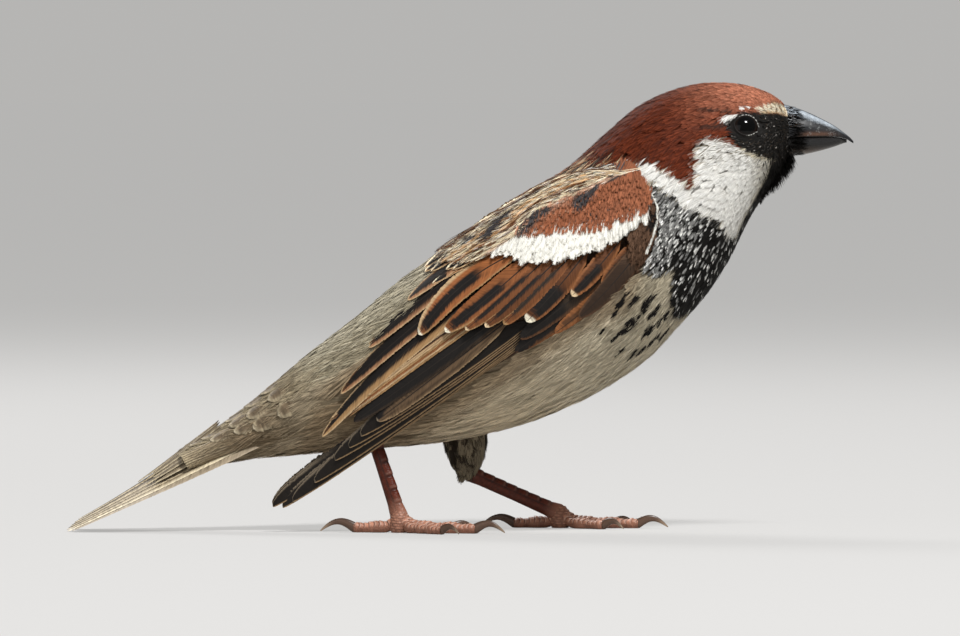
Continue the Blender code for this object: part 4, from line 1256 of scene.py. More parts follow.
# Each greater covert: root, tip, bow, width above and below the shaft, brightness and marks.
GREATER = (
    ((3, 0.5), (14.2, 2.9), 0, 1.5, 1.3, 0.55, "plain"),
    ((6.5, -1.6), (19.4, 1.2), 0.2, 1.7, 1.5, 0.45, "small"),
    ((12, -3.6), (28.2, 0.1), 0.3, 2.3, 1.9, 0.45, "bold"),
    ((13.5, -4.6), (31.6, -1.9), 0, 1.9, 1.6, 0.62, "plain"),
    ((14.5, -5.6), (34.4, -3.4), 0.1, 1.9, 1.5, 0.5, "thin"),
    ((16, -6.9), (37.4, -5), 0.2, 1.9, 1.5, 0.68, "thin"),
    ((18, -8.2), (40.4, -6.8), 0.3, 2, 1.8, 0.95, "dark"),
    ((21, -10), (44.3, -9.1), -1.8, 2.3, 2, 1.25, "big"),
)
GREATER_MARKS = {
    "plain": (("core", SEPIA, 0.55, -0.2, 0.3, 0.86), ("edge", TAWNY, 0.25), ("tip", GOLD, 0.5)),
    "small": (("core", INK, 0.7, 0.1, 0.45, 0.93), ("edge", TAWNY, 0.4), ("tip", CREAM, 0.8)),
    "bold": (("core", INK, 1.75, 0.1, 0.5, 0.88), ("upper", GOLD, 0.2), ("lower", TAWNY, 0.3),
             ("tip", IVORY, 1)),
    "thin": (("core", INK, 0.38, -0.1, 0.35, 0.88), ("edge", GOLD, 0.14), ("tip", CREAM, 0.6)),
    "dark": (("core", INK, 0.85, -0.1, 0.42, 0.94), ("lower", GOLD, 0.25), ("tip", IVORY, 0.6)),
    "big": (("core", INK, 1, 0, 0.36, 0.955), ("upper", BUFF, 0.5, 0.35), ("lower", GOLD, 0.22),
            ("tip", IVORY, 0.5)),
}
# Each median covert: root, tip and half width.
MEDIAN = (
    ((25, -15.6), (29, -12.7), 1.3), ((21.6, -14.4), (26.2, -11.2), 1.6), ((19.4, -12.4), (24, -8.5), 2.1),
    ((18.2, -11.4), (22.4, -6.4), 2.3), ((14.8, -9.4), (19.2, -4.7), 2.2), ((11.6, -7.4), (15.8, -3), 2.1),
    ((8.6, -5.9), (12.4, -1.7), 2), ((5, -5.4), (8.8, -0.9), 2), ((1.8, -5), (5.4, -0.8), 1.8),
    ((-0.4, -4.6), (2.4, -0.7), 1.4),
)
BAR_REACH = 0.8  # how much of its length each one shows
PRIMARY_TIPS = (
    (62.7, -1), (65.5, -0.6), (68.8, -0.3), (73.9, 0.7), (78.9, 1.1), (80.9, 0.9), (82.2, -0.2), (82, -0.6),
)

# The small feathers' tufts and patches. A patch is an outline in the wing's frame.
lesser_tuft = make_tuft(14, 0.16, 0.019, 0.72, 0.07)
snow_tuft = make_tuft(18, 0.16, 0.017, 0.8, 0.02)
streak_tuft = make_tuft(13, 0.065, 0.011, 0.8, 0.06)
hair_tuft = make_tuft(3, 0.05, 0.045, 0.7, 0.1)
CHESTNUT_PATCH = (
    (-1.2, -7.8), (0.3, -9.1), (2.4, -10), (4.4, -10.7), (7.5, -11.6), (10.6, -12.3), (13, -13),
    (16.7, -13.9), (20, -13.3), (22.4, -12.2), (17, -9.3), (13.6, -7.2), (9.9, -4.5), (4.8, -3.1),
    (1, -1.8), (-0.9, -3.3), (-1.5, -5),
)
SLATE_PATCHES = (
    ((12.6, -12.2), (15.4, -13.9), (17.7, -13.9), (19.9, -13.3), (21.6, -12.1), (19.4, -11.4), (17.1, -12),
     (14, -12)),
    ((3.9, -10.9), (6.8, -11.5), (9.3, -11.8), (10.8, -10.7), (10.3, -9.2), (8.3, -9.2), (5.5, -9.9)),
    ((20, -16.7), (21.7, -17.2), (23.8, -17.1), (26.1, -16.4), (27.6, -15.6), (25.8, -14.9), (23.3, -15.6),
     (20.3, -16.1)),
    ((27.2, -17.2), (29.4, -17.8), (30.8, -17.2), (28.9, -16.6), (27, -16.4)),
    ((11, -13.9), (12.9, -14.5), (13.1, -13.8), (11.7, -13.3)),
    ((-0.3, -9.6), (1.8, -10.9), (3.8, -11.2), (4, -10.3), (2.1, -9.7)),
    ((7.9, -12.9), (9.4, -13.5), (10, -13.1), (8.6, -12.5)),
    ((33, -17.9), (35.7, -17.6), (37.5, -17), (36.4, -16.6), (33.4, -17)),
)
BAR_PATCH = (
    (28.3, -12.6), (22.1, -11.6), (17, -9.3), (13.6, -7.3), (9.9, -4.6), (4.8, -3.1), (1, -1.9), (2, -0.7),
    (5.2, -1.1), (7.4, -0.7), (9, -1.5), (12.9, -1.8), (13.6, -2.6), (16, -3.2), (17, -4.3), (19.2, -4.7),
    (20.2, -6.3), (23, -6.6), (24.6, -9.2), (23.9, -10.6), (26.5, -11.2),
)
FRONT_SPOT = ((3, 0), (1.8, -1.2), (-0.2, -2), (-0.9, -1), (0.4, 0.3), (2, 1.3))
FRONT_LINE = (
    (-1.7, -4.6), (-1.65, -3.4), (-1, -1.7), (0.8, 0.3), (3, 1.8), (5.2, 3.1), (5, 3.35), (2.8, 2.05),
    (0.6, 0.55), (-1.25, -1.55), (-1.9, -3.4), (-1.9, -4.6),
)
FRONT_PATCH = (
    (-1.2, -3.4), (1, -1.8), (3, -1), (6, -0.4), (8, 1.5), (8.6, 5.2), (5, 4), (2, 2), (-0.6, -0.8),
)


def patch_tufts(name, side, patch, spacing, length, lie, low, high, colour, tuft, rng):
    """Tufts whose tips fill an outline on the wing and which lie along a direction."""
    start, end = np.min(patch, axis=0), np.max(patch, axis=0)
    a, b = np.meshgrid(np.arange(start[0], end[0], spacing), np.arange(start[1], end[1], spacing),
                       indexing="ij")
    b = b + (np.arange(a.shape[0]) % 2)[:, None] * spacing / 2
    a, b = (q.ravel() + rng.normal(0, spacing * 0.25, q.size) for q in (a, b))
    use = within(patch, a, b) > 0
    a, b = a[use], b[use]
    count = len(a)
    way = unit(lie(a, b))
    size = length * rng.uniform(0.85, 1.15, count)
    stations, normals = [], []
    for t in (-1, -0.5, 0):
        pa, pb = a + way[:, 0] * size * t, b + way[:, 1] * size * t
        stations.append(wing_point(pa, pb, 0, side))
        da = wing_point(pa + 0.1, pb, 0, side) - wing_point(pa - 0.1, pb, 0, side)
        db = wing_point(pa, pb + 0.1, 0, side) - wing_point(pa, pb - 0.1, 0, side)
        normal = unit(np.cross(da, db))
        normals.append(normal * np.sign(normal[:, 1:2] * side))
    outward = (np.cross(normals[-1], stations[-1] - stations[0]) * db).sum(1)
    points = grow_feathers(tuft, np.stack(stations, 1), np.stack(normals, 1), size, low,
                           high + rng.uniform(-0.06, 0.06, count), rng, 0.03, mirror=False)
    # Each barb is coloured by the place of its own tip.
    ends = tuft["points"][np.append(0, np.flatnonzero(tuft["share"] >= 1))]
    beside = (np.sign(outward) * size)[:, None] * ends[:, 0] * 0.8
    behind = -size[:, None] * (1 - ends[:, 1])
    shape = (count, tuft["barbs"])
    tint = colour(a[:, None] + way[:, :1] * behind - way[:, 1:] * beside,
                  b[:, None] + way[:, 1:] * behind + way[:, :1] * beside, rng, shape)
    tint = np.broadcast_to(tint, shape + (3,))[:, tuft["barb"]]
    quiet = 1 - 0.75 * tint.mean(-1)
    v = tuft["points"][:, 1]
    shade = 1 + quiet * (0.3 * ease(0.2, 0.9, 0.5 * v + 0.5 * tuft["share"])[None] - 0.22)
    tone = 1 + 0.26 * quiet * barb_noise(tuft, count, rng)
    roots = (np.stack([a, b], -1) - start) / (end - start) * 0.96 + 0.02
    show_tufts(name, tuft, points, tint * (shade * np.clip(tone, 0.5, 1.6))[..., None], roots, "wing_coverts")


STRAW = (0.93, 0.77, 0.53)
AMBER = (0.78, 0.49, 0.24)
ROSY = (0.6, 0.37, 0.25)
# Where the scapulars begin beside the coverts, and where they end at the bird's outline.
SCAPULAR_PATCH = (
    (1, -10.4), (3.7, -10.9), (7.8, -11.8), (10.8, -12.5), (13.8, -13.4), (16, -14.1), (19.7, -13.7),
    (22.2, -12.8), (27.9, -13.3), (30.4, -13.7), (33, -15), (35.4, -17), (34.8, -18.4), (33.5, -18.6),
    (28.9, -18.3), (22.6, -18), (17.2, -17.6), (11.9, -16.7), (9, -16.1), (6.3, -15.2), (3.8, -13.8),
    (1.6, -12.2),
)
SCAPULAR_ALONG = (-1, 1, 3, 6.3, 10.9, 16.6, 22, 28, 35)
SCAPULAR_BASE = (-9.6, -10.6, -11.2, -12, -12.9, -13.9, -12.6, -13, -13.8)
SCAPULAR_TOP = (-10.2, -11.4, -13.2, -15.2, -16.3, -17.1, -17.6, -17.9, -17.8)


def scapular_edges(along):
    """The across of the scapulars' edge by the coverts and of their top."""
    return (np.interp(along, SCAPULAR_ALONG, edge) for edge in (SCAPULAR_BASE, SCAPULAR_TOP))


def scapular_level(along, across):
    """A place's share of the way up the scapulars, from the coverts to the bird's outline."""
    base, top = scapular_edges(along)
    return (across - base) / (top - base)


def scapular_across(along, level):
    """The across of a level."""
    base, top = scapular_edges(along)
    return base + level * (top - base)


def scapular_slope(along, across):
    """How the streaks of the scapulars climb at a place."""
    level = scapular_level(along, across)
    return (scapular_across(along + 2, level) - scapular_across(along - 2, level)) / 4


def with_slate(tint, a, b, rng, shape):
    """Adds the slate patches, with hairy edges, to the colours of each barb of many tufts."""
    tint = np.array(np.broadcast_to(tint, shape + (3,)))
    for patch in SLATE_PATCHES:
        share = ease(0, 0.25, within(patch, a, b) + rng.normal(0, 0.16, shape))[..., None]
        tint = blend(tint, np.array((0.05, 0.045, 0.046)) * rng.normal(1, 0.35, shape + (1,)), share)
    return tint.clip(0.006, 1)


def scapular_streaks(a, b, rng, shape):
    """Fine streaks of cream, gold, rufous and black that fan out from the shoulder."""
    wander = 0.018 * np.sin(a * 0.42) + 0.012 * np.sin(a * 0.9 + 1)
    level = scapular_level(a, b) + rng.normal(0, 0.012, shape) + wander
    tint = np.empty(shape + (3,))
    tint[:] = AMBER
    for low, high, colour in (
            (-9, 0.06, ROSY), (0.06, 0.2, STRAW), (0.2, 0.25, UMBER), (0.25, 0.33, STRAW), (0.33, 0.37, SEPIA),
            (0.37, 0.44, TAWNY), (0.52, 0.55, UMBER), (0.55, 0.64, STRAW), (0.64, 0.67, TAWNY),
            (0.75, 0.79, SEPIA),
            (0.79, 0.86, STRAW), (0.86, 0.9, SEPIA), (0.9, 0.95, STRAW), (0.95, 9, UMBER)):
        tint[(level > low) & (level <= high)] = colour
    fine = np.sin(level * 88 + 1.4 * np.sin(a * 0.31)) + 0.25 * np.sin(a * 1.1 + level * 40)
    for share, colour in ((0.75 * ease(0.62, 0.95, fine), UMBER), (0.7 * ease(0.75, 1, -fine), SNOW)):
        tint = blend(tint, colour, share[..., None])
    stray = rng.random(shape)
    for low, high, colour in ((0, 0.05, SEPIA), (0.05, 0.09, TAWNY), (0.09, 0.14, STRAW)):
        tint[(stray > low) & (stray <= high)] = colour
    return with_slate(tint, a, b, rng, shape)


def scapular_feathers(rng):
    """The pointed feathers under the streaked ones, which show where they end over the tertials."""
    for line in range(7):
        level = 0.06 + 0.15 * line
        for step in range(6):
            a = -0.6 + step * 5.2 + 2.6 * (line % 2) + rng.uniform(-0.8, 0.8)
            reach = rng.uniform(9, 11)
            if a + reach > (24 if line < 1 else 37.5):
                continue
            first, middle, end = (float(scapular_across(q, level)) for q in (a, a + reach / 2, a + reach))
            wide = 0.35 + 0.6 * float(ease(-1, 12, a))
            yield dict(
                root=(a, first), tip=(a + reach, end), bow=middle - (first + end) / 2, upper=wide, lower=wide,
                high=(-1.2, -0.22 - 0.02 * step - 0.01 * line), blunt=1.9, gap=0.25, columns=4, ragged=0.07,
                nicks=0.1, tilt=0.02, tone=0.2, shaft=SEPIA, shaft_width=0.035, ground=TAWNY,
                marks=(("core", INK, 0.45 * wide, 0, 0.3, 0.95), ("upper", STRAW, 0.22),
                       ("lower", BUFF, 0.15)))


def scapular_lie(a, b):
    """The way of the streaks."""
    return np.stack([1 + 0 * a, scapular_slope(a, b)], -1)


def line_lie(a, b):
    """The way of the hairs of the leading edge."""
    return np.stack([0.3 + 0.08 * (b + 6), 1 - 0.05 * (b + 6)], -1)


def steady_lie(along, along_change, across, across_change):
    """A way over a patch of small feathers that changes evenly along the wing."""
    return lambda a, b: np.stack([along + along_change * a, across + across_change * a], -1)


def chestnut(a, b, rng, shape):
    """The lesser coverts, rosy towards the scapulars."""
    tint = np.array((0.285, 0.098, 0.046)) * rng.normal(1, 0.06, (shape[0], 1, 1))
    tint = tint * rng.normal(1, 0.12, shape + (1,))
    tint = tint * (1 - 0.18 * ease(0.2, 0.9, ripple(a * 0.6, b * 1.5, 1.2, 1)))[..., None]
    level = (b - np.interp(a, SCAPULAR_ALONG, SCAPULAR_BASE)) + rng.normal(0, 0.5, shape)
    rosy = (0.55 * ease(2.2, 0.4, level) * ease(4, 8, a))[..., None]
    return with_slate(blend(tint, (0.6, 0.35, 0.235), rosy), a, b, rng, shape)


def front(a, b, rng, shape):
    """The dun leading edge with its black spot."""
    tint = np.array((0.115, 0.063, 0.038)) * rng.normal(1, 0.15, shape + (1,))
    tint = tint * (1 - 0.45 * ease(1, 6, b))[..., None]
    share = ease(-0.3, 0.3, within(FRONT_SPOT, a, b) + rng.normal(0, 0.2, shape))[..., None]
    return blend(tint, INK, share).clip(0.005, 1)


def snow(a, b, rng, shape):
    """The white bar, with a few dusky barbs."""
    dusky = (rng.random(shape + (1,)) < 0.015) * 0.45
    return np.array(SNOW) * rng.normal(1, 0.02, (shape[0], 1, 1)) * (1 - dusky)


# The small feathers: patch, spacing, length, way, height at root and tip, colour and tuft.
SMALL_COVERTS = {
    "front_coverts": (FRONT_PATCH, 0.75, 4.4, steady_lie(0.85, 0, 0.52, 0), -1.2, -0.05, front, silk_tuft),
    "median_coverts": (BAR_PATCH, 0.98, 5.6, steady_lie(0.55, 0.012, 0.83, -0.014), -0.55, 0.06, snow,
                       snow_tuft),
    "lesser_coverts": (CHESTNUT_PATCH, 0.72, 5.2, steady_lie(0.72, 0, 0.7, 0), -1.2, 0.22, chestnut,
                       lesser_tuft),
    "scapular_tufts": (SCAPULAR_PATCH, 0.64, 7.2, scapular_lie, -0.9, 0.12, scapular_streaks, streak_tuft),
    "front_line": (FRONT_LINE, 0.17, 1.2, line_lie, -0.6, 0.04, snow, hair_tuft),
}
BED_ROWS, BED_COLUMNS = 60, 12
TERTIAL_MARKS = (("core", INK, 1.35, -0.4, 0, 0.955), ("upper", UMBER, 0.22), ("lower", ROSY_BROWN, 0.55),
                 ("lower", BUFF, 0.16), ("upper", BUFF, 0.13), ("tip", BUFF, 0.35))


def flight_feathers():
    """Eight primary tips, from the innermost on top to the outermost below, with hairline pale edges."""
    for k, tip in enumerate(PRIMARY_TIPS):
        yield dict(
            root=(26, 0.6 + 0.33 * k), tip=tip, bow=0.25, upper=3, lower=0.75, blunt=6.5, tilt=0.14,
            waist=0.6, gap=0.24, high=(-2.3, -1.35 - 0.17 * k), ground=(0.01, 0.007, 0.005),
            shaft=(0.006, 0.005, 0.004), marks=(("lower", (0.27, 0.175, 0.09), 0.17), ("tip", PALE_EDGE, 0.2),
                                                ("upper", PALE_EDGE, 0.09, 0.8)))


def inner_feathers():
    """Tertials with dark centres and tawny fringes, over the golden edges of the secondaries."""
    yield dict(
        root=(29, -2), tip=(58.9, -1.5), upper=2.2, lower=1.7, blunt=7, ground=(0.13, 0.08, 0.043),
        marks=(("lines", SEPIA, 0.5, 0.7), ("upper", INK, 1), ("lower", (0.34, 0.23, 0.125), 0.22),
               ("tip", PALE_EDGE, 0.25)), high=(-2, -1.15))
    yield dict(root=(28, -3.2), tip=(62.2, -3.7), upper=2.1, lower=1.5, ground=INK, high=(-1.9, -1.05),
               marks=(("lower", SEPIA, 0.3),))
    for k in range(5):
        yield dict(
            root=(26, -4.6 - 0.35 * k), tip=(63.4 + 0.5 * k, -5.1 - 0.3 * k), bow=-0.6, upper=1.3, lower=0.9,
            ground=(GOLD, BUFF, TAWNY)[k % 3], high=(-1.8, -0.95 + 0.05 * k), tone=0.18, blunt=3.5,
            marks=(("lines", UMBER, 0.45, 0.55), ("core", UMBER, 0.18, 0.1, 0, 1)))
    yield dict(
        root=(27, -8), tip=(68.1, -4.9), bow=-1.7, upper=1.6, lower=1.6, ground=UMBER, blunt=3.2,
        marks=(("core", INK, 1.2, -0.7, 0, 0.96), ("lower", GOLD, 0.9), ("lower", BUFF, 0.2),
               ("upper", BUFF, 0.15), ("tip", BUFF, 0.3)), high=(-1.7, -0.6))
    for root, tip, bow, upper, lower, high in (
            ((26, -10.2), (61.1, -8.9), -1.2, 1.7, 1.6, (-1.6, -0.45)),
            ((24, -13.2), (52.6, -12.4), -0.9, 1.6, 1.8, (-1.5, -0.3)),
            ((25, -14.6), (42.4, -14.9), -0.4, 1.1, 1.2, (-1.2, -0.2))):
        yield dict(root=root, tip=tip, bow=bow, upper=upper, lower=lower, ground=UMBER, blunt=3.4, high=high,
                   marks=TERTIAL_MARKS)


def large_coverts():
    """Primary coverts and the alula at the leading edge, the greater coverts and the bar's own vanes."""
    yield dict(root=(11, 4.6), tip=(31.4, 3.6), upper=1.3, lower=0.9, ground=TAWNY, high=(-1.9, -1.2),
               gap=0.26,
               marks=(("core", UMBER, 0.5, -0.2, 0, 0.9), ("lower", TAWNY, 0.5)))
    yield dict(root=(12, 3.3), tip=(32.9, 3.1), upper=1.7, lower=1.3, ground=SEPIA, high=(-1.8, -1),
               marks=(("lower", UMBER, 0.45), ("core", INK, 1.2, -0.3, 0.5, 1)))
    yield dict(root=(12, 1.6), tip=(30.8, 1.8), upper=1.8, lower=1.6, ground=SEPIA, high=(-1.6, -0.9),
               marks=(("core", INK, 1.4, 0, 0.5, 1), ("lower", UMBER, 0.3)))
    yield dict(root=(8, 4.4), tip=(25.5, 4.6), upper=1.6, lower=1, ground=TAWNY, high=(-1.5, -0.8),
               marks=(("core", UMBER, 0.5, -0.3, 0.2, 0.9),))
    yield dict(
        root=(1, 0.4), tip=(20.6, 4.9), bow=0.7, upper=1.7, lower=1.75, ground=(0.036, 0.02, 0.012),
        marks=(("base", (0.105, 0.06, 0.036), 0.35), ("edge", (0.1, 0.05, 0.025), 0.25)), high=(-0.9, -0.15),
        ragged=0.01, nicks=0, tone=0.05)
    for k, (root, tip, bow, upper, lower, bright, kind) in enumerate(GREATER):
        yield dict(
            root=root, tip=tip, bow=bow, upper=upper, lower=lower, marks=GREATER_MARKS[kind], tone=0.12,
            ground=np.array((0.23, 0.08, 0.026)) * bright, high=(-1.5, -0.62 + 0.05 * k), nicks=0.05,
            gap=0.2, columns=6)
    for root, tip, width in MEDIAN[::-1]:
        yield dict(
            root=root, tip=np.add(root, BAR_REACH * np.subtract(tip, root)), upper=width, lower=width,
            marks=(),
            ground=SNOW, high=(-1.1, -0.45), ragged=0.09, nicks=0.3, gap=0.15, columns=6, blunt=3.2, tone=0.05,
            shaft=(0.55, 0.52, 0.46), shaft_width=0.05, tilt=0.1)


def make_wing(side, letter, rng):
    """One closed wing, from the bed under it to the small coverts on top."""
    along = np.linspace(0.5, 57, BED_ROWS)
    upper, lower = wing_edges(along)
    share = np.linspace(0, 1, BED_COLUMNS)
    across = blend((upper + 1.2)[:, None], (lower - 1)[:, None], share[None])
    bed = wing_point(np.repeat(along, BED_COLUMNS), across.ravel(), 2.9, side)
    tint = np.where(bed[:, :1] > 8, (0.06, 0.032, 0.017), (0.02, 0.014, 0.01))
    show(f"wing_bed_{letter}", "outer_flight_feathers", vane_material,
         (bed, grid_faces(BED_ROWS, BED_COLUMNS), tint, np.stack(pairs(along / 80, share), -1)))

    def surface(a, b, height):
        return wing_point(a, b, -height, side)

    for name, feathers, slot, replaces in (
            ("primaries", flight_feathers(), "outer_flight_feathers", (f"wing_primaries_{letter}",)),
            ("tertials", inner_feathers(), "inner_flight_feathers", (f"wing_tertials_{letter}",)),
            ("coverts", large_coverts(), "wing_coverts", (f"wing_coverts_{letter}",)),
            ("scapulars", scapular_feathers(rng), "wing_coverts", ())):
        blades(f"{name}_{letter}", surface, list(feathers), rng, slot, replaces, side > 0)
    for name, patch in SMALL_COVERTS.items():
        patch_tufts(f"{name}_{letter}", side, *patch, rng)


for wing_side, wing_letter in SIDES:
    make_wing(wing_side, wing_letter, np.random.default_rng(21 + wing_side))


# ---- The tail ----
# Twelve feathers are closed into a narrow fan, the middle pair on top, and the tips rest on the ground.
# Pointed coverts run out of the coat's end over their roots, under the rounded coverts of the rump.

TAIL_ROOT = np.array((-19.5, 27.5))
TAIL_END = np.array((-67.9, 2.7))
TAIL_LENGTH = np.linalg.norm(TAIL_END - TAIL_ROOT)
TAIL_WAY = (TAIL_END - TAIL_ROOT) / TAIL_LENGTH
COVERT_COUNT = 13


def tail_surface(a, b, height):
    """a is how far from the root, b a share of the half width (1 at the bird's right edge)."""
    s = a / TAIL_LENGTH
    half = 3.2 + 3.2 * np.minimum(1, s / 0.85)
    round_off = np.abs(b) ** 1.4
    roof = 1 - (4.9 - 1.2 * s) * round_off - 2.9 * ease(0.25, 1, s) * (1 - round_off) + height
    x = TAIL_ROOT[0] + TAIL_WAY[0] * a + TAIL_WAY[1] * roof
    z = TAIL_ROOT[1] + TAIL_WAY[1] * a - TAIL_WAY[0] * roof
    return np.stack([x, -b * half, np.maximum(z, 0.06 + 0.05 * (height + 1))], -1)


# From the middle pair outwards: the cream edge's colour and width, and how bright the ground is. The
# outermost vane's darker ground is a painted shadow stripe under its neighbour's bold edge, and it has a
# beige outer web.
TAIL_EDGES = (
    ((0.58, 0.48, 0.32), 0.075, 0.55), ((0.58, 0.48, 0.32), 0.1, 0.8), ((0.58, 0.48, 0.32), 0.05, 1.2),
    ((0.58, 0.48, 0.32), 0.085, 0.95), ((0.8, 0.69, 0.48), 0.1, 1.1), ((0.4, 0.325, 0.23), 0.13, 0.75),
)


def tail_vanes(rng):
    """The twelve vanes from the outermost pair to the middle one, then the pointed coverts."""
    for k, (cream, pale, bright) in reversed(tuple(enumerate(TAIL_EDGES))):
        for side, _ in SIDES:
            middle = (k + 0.42) / 6
            widths = (0.2, 0.2) if k == 0 else (0.14, 0.34) if k < 5 else (0.26, 0.34)
            edge = "lower" if side > 0 else "upper"
            yield dict(
                root=(3, side * middle * 0.9), tip=(55 - 0.8 * abs(k - 3.5), side * middle), blunt=6,
                upper=widths[side < 0], lower=widths[side > 0], ground=np.array((0.125, 0.093, 0.06)) * bright,
                high=(-0.08 * k, -0.09 * k), tilt=0, waist=0.75, gap=0.26, camber=0.05, ragged=0.008,
                nicks=0.01,
                marks=((edge, (0.3, 0.235, 0.145), 0.14), (edge, cream, pale),
                       ("lines", (0.21, 0.165, 0.11), 0.13, 0.35 + 0.1 * (k % 3))),
                shaft=(0.075, 0.055, 0.037), shaft_width=0.012, sweep=0.05)
    for k in range(COVERT_COUNT):
        middle = 2 * (k + 0.5) / COVERT_COUNT - 1
        bulge = 4 * abs(middle) * (1 - abs(middle))
        yield dict(
            root=(23, middle * 0.92), tip=(rng.uniform(35.5, 41) - 2 * abs(middle), middle * 0.87),
            upper=0.13, lower=0.13, blunt=2.2, ground=np.array((0.2, 0.155, 0.098)) * rng.uniform(0.8, 1.2),
            tilt=0, high=(1.2 + 1.2 * bulge, 0.2 + 0.3 * bulge), waist=0.8, gap=0.24, camber=0.12, ragged=0.03,
            marks=(("edge", PALE_STRAW, 0.03), ("lines", (0.3, 0.24, 0.155), 0.05, 0.5)),
            shaft=STRAW_SHAFT, shaft_width=0.008, sweep=0.1, tone=0.12)


PALE_STRAW = (0.5, 0.42, 0.28)
STRAW_SHAFT = (0.085, 0.062, 0.04)
rng = np.random.default_rng(5)
blades("tail_feathers", tail_surface, list(tail_vanes(rng)), rng, "tail_feathers", ("tail",))


def rump_surface(a, b, height):
    """a is how far back along the top of the loin and rump, and b how far round from there."""
    rows = np.linspace(9.5, 13.95, 90)
    run = np.linalg.norm(np.diff(body_point(rows, UP + 0 * rows), axis=0), axis=1)
    s = np.interp(a, np.concatenate([[0], np.cumsum(run)]), rows)
    turn = UP + b / np.maximum(4, curve_through(BODY_ROWS, s)[:, 4])
    _, _, normal = body_tangents(s, turn)
    return body_point(s, turn) + normal * height[:, None]


# Rows of coverts, the last on top: where they end, how many, half width, length and reach round the tail.
COVERT_ROWS = (
    (42, 3, 2, 12, 3.4), (38, 5, 2.5, 12, 6.6), (33.5, 6, 2.5, 11, 8.2), (29.5, 6, 2.5, 10, 9.6),
    (25.5, 6, 2.3, 9, 10.4),
)


def tail_coverts(rng):
    """Rounded dun feathers with pale fringes over the rump and the root of the tail."""
    for row, (end, count, wide, length, reach) in enumerate(COVERT_ROWS):
        for k in range(count):
            b = reach * (2 * (k + 0.5) / count - 1) + rng.uniform(-0.3, 0.3)
            a = end + rng.uniform(-0.9, 0.9) - 0.1 * b * b / reach
            yield dict(
                root=(a - length, b * 0.92), tip=(a, b), upper=wide, lower=wide, blunt=3.6, gap=0.25,
                columns=6,
                high=(-1, 0.16 + 0.03 * row), ground=(0.185, 0.14, 0.088), ragged=0.07, nicks=0.18, tilt=0.03,
                camber=0.16, tone=0.18, shaft=(0.09, 0.065, 0.04), shaft_width=0.05,
                marks=(("lines", (0.27, 0.215, 0.14), 0.55, 0.5),
                       ("core", (0.13, 0.094, 0.057), 0.36 * wide, 0, 0.1, 0.9),
                       ("edge", (0.3, 0.245, 0.16), 0.6), ("tip", (0.42, 0.355, 0.25), 0.6 - 0.08 * row)))
    # Long straw-coloured ones along both sides carry the vanes' lines into the coat.
    for k in range(16):
        b = (5.2 + 6 * (k // 2 + 0.5) / 8) * (1 - 2 * (k % 2))
        a = 46.5 - 0.25 * abs(b) + rng.uniform(-1.2, 0.8)
        yield dict(
            root=(a - rng.uniform(13, 17), b * 1.12), tip=(a, b * 0.96), upper=0.75, lower=0.75, blunt=2.4,
            high=(-0.5, 0.3), ground=np.array((0.22, 0.17, 0.108)) * rng.uniform(0.8, 1.25), gap=0.25,
            tilt=0.02,
            ragged=0.05, nicks=0.08, camber=0.14, tone=0.14, waist=0.7, shaft=STRAW_SHAFT, shaft_width=0.05,
            marks=(("lines", (0.33, 0.265, 0.17), 0.35, 0.5), ("edge", PALE_STRAW, 0.24)))


blades("tail_coverts", rump_surface, list(tail_coverts(rng)), rng, "plumage", (), True)


# ---- The legs and feet ----
# Bare shanks with overlapping scutes in front, and long toes with a row of plates above and soft pads below.
# Every claw is a curved horn whose point touches the ground.

TOES = {  # heading off the way the foot points, length, radius, joints, claw length
    "inner": (-34, 9.5, 1, 2, 4.6),
    "middle": (0, 13.5, 1.1, 3, 5.6),
    "outer": (30, 10.5, 0.95, 4, 4.4),
    "hind": (176, 8, 1.1, 2, 6.4),
}
LEG_RED = np.array((0.09, 0.014, 0.004))
LEG_DARK = np.array((0.014, 0.004, 0.002))
FOOT_PINK = np.array((0.4, 0.185, 0.12))
PALE_SCALE_AND_HIGHLIGHT = np.array((0.62, 0.45, 0.36))
GROUND_GAP = 0.03  # soles lie this close to the ground


def tube(path, wide, deep, angles):
    """Points round a path: wide and deep are half sizes for each point of the path and each angle."""
    way = unit(np.gradient(path, axis=0))
    across, up = frame_of(way)
    return (path[:, None] + (np.cos(angles) * wide)[..., None] * across[:, None]
            + (np.sin(angles) * deep)[..., None] * up[:, None])


def scutes(share, count, steep=0.16):
    """A saw profile from 0 to 1 of overlapping plates, and how near each place is to a joint between two."""
    phase = (share * count) % 1
    return np.minimum(phase / (1 - steep), (1 - phase) / steep), bell(np.minimum(phase, 1 - phase) / 0.09)


def closed_tube(points, tint):
    """Points in rows round a path, with their quads, colours and unwrap."""
    rows, sides = points.shape[:2]
    uv = np.stack(pairs(np.linspace(0, 1, rows), np.linspace(0, 1, sides)), -1)
    return points.reshape(-1, 3), grid_faces(rows, sides, closed=True), tint.reshape(-1, 3), uv


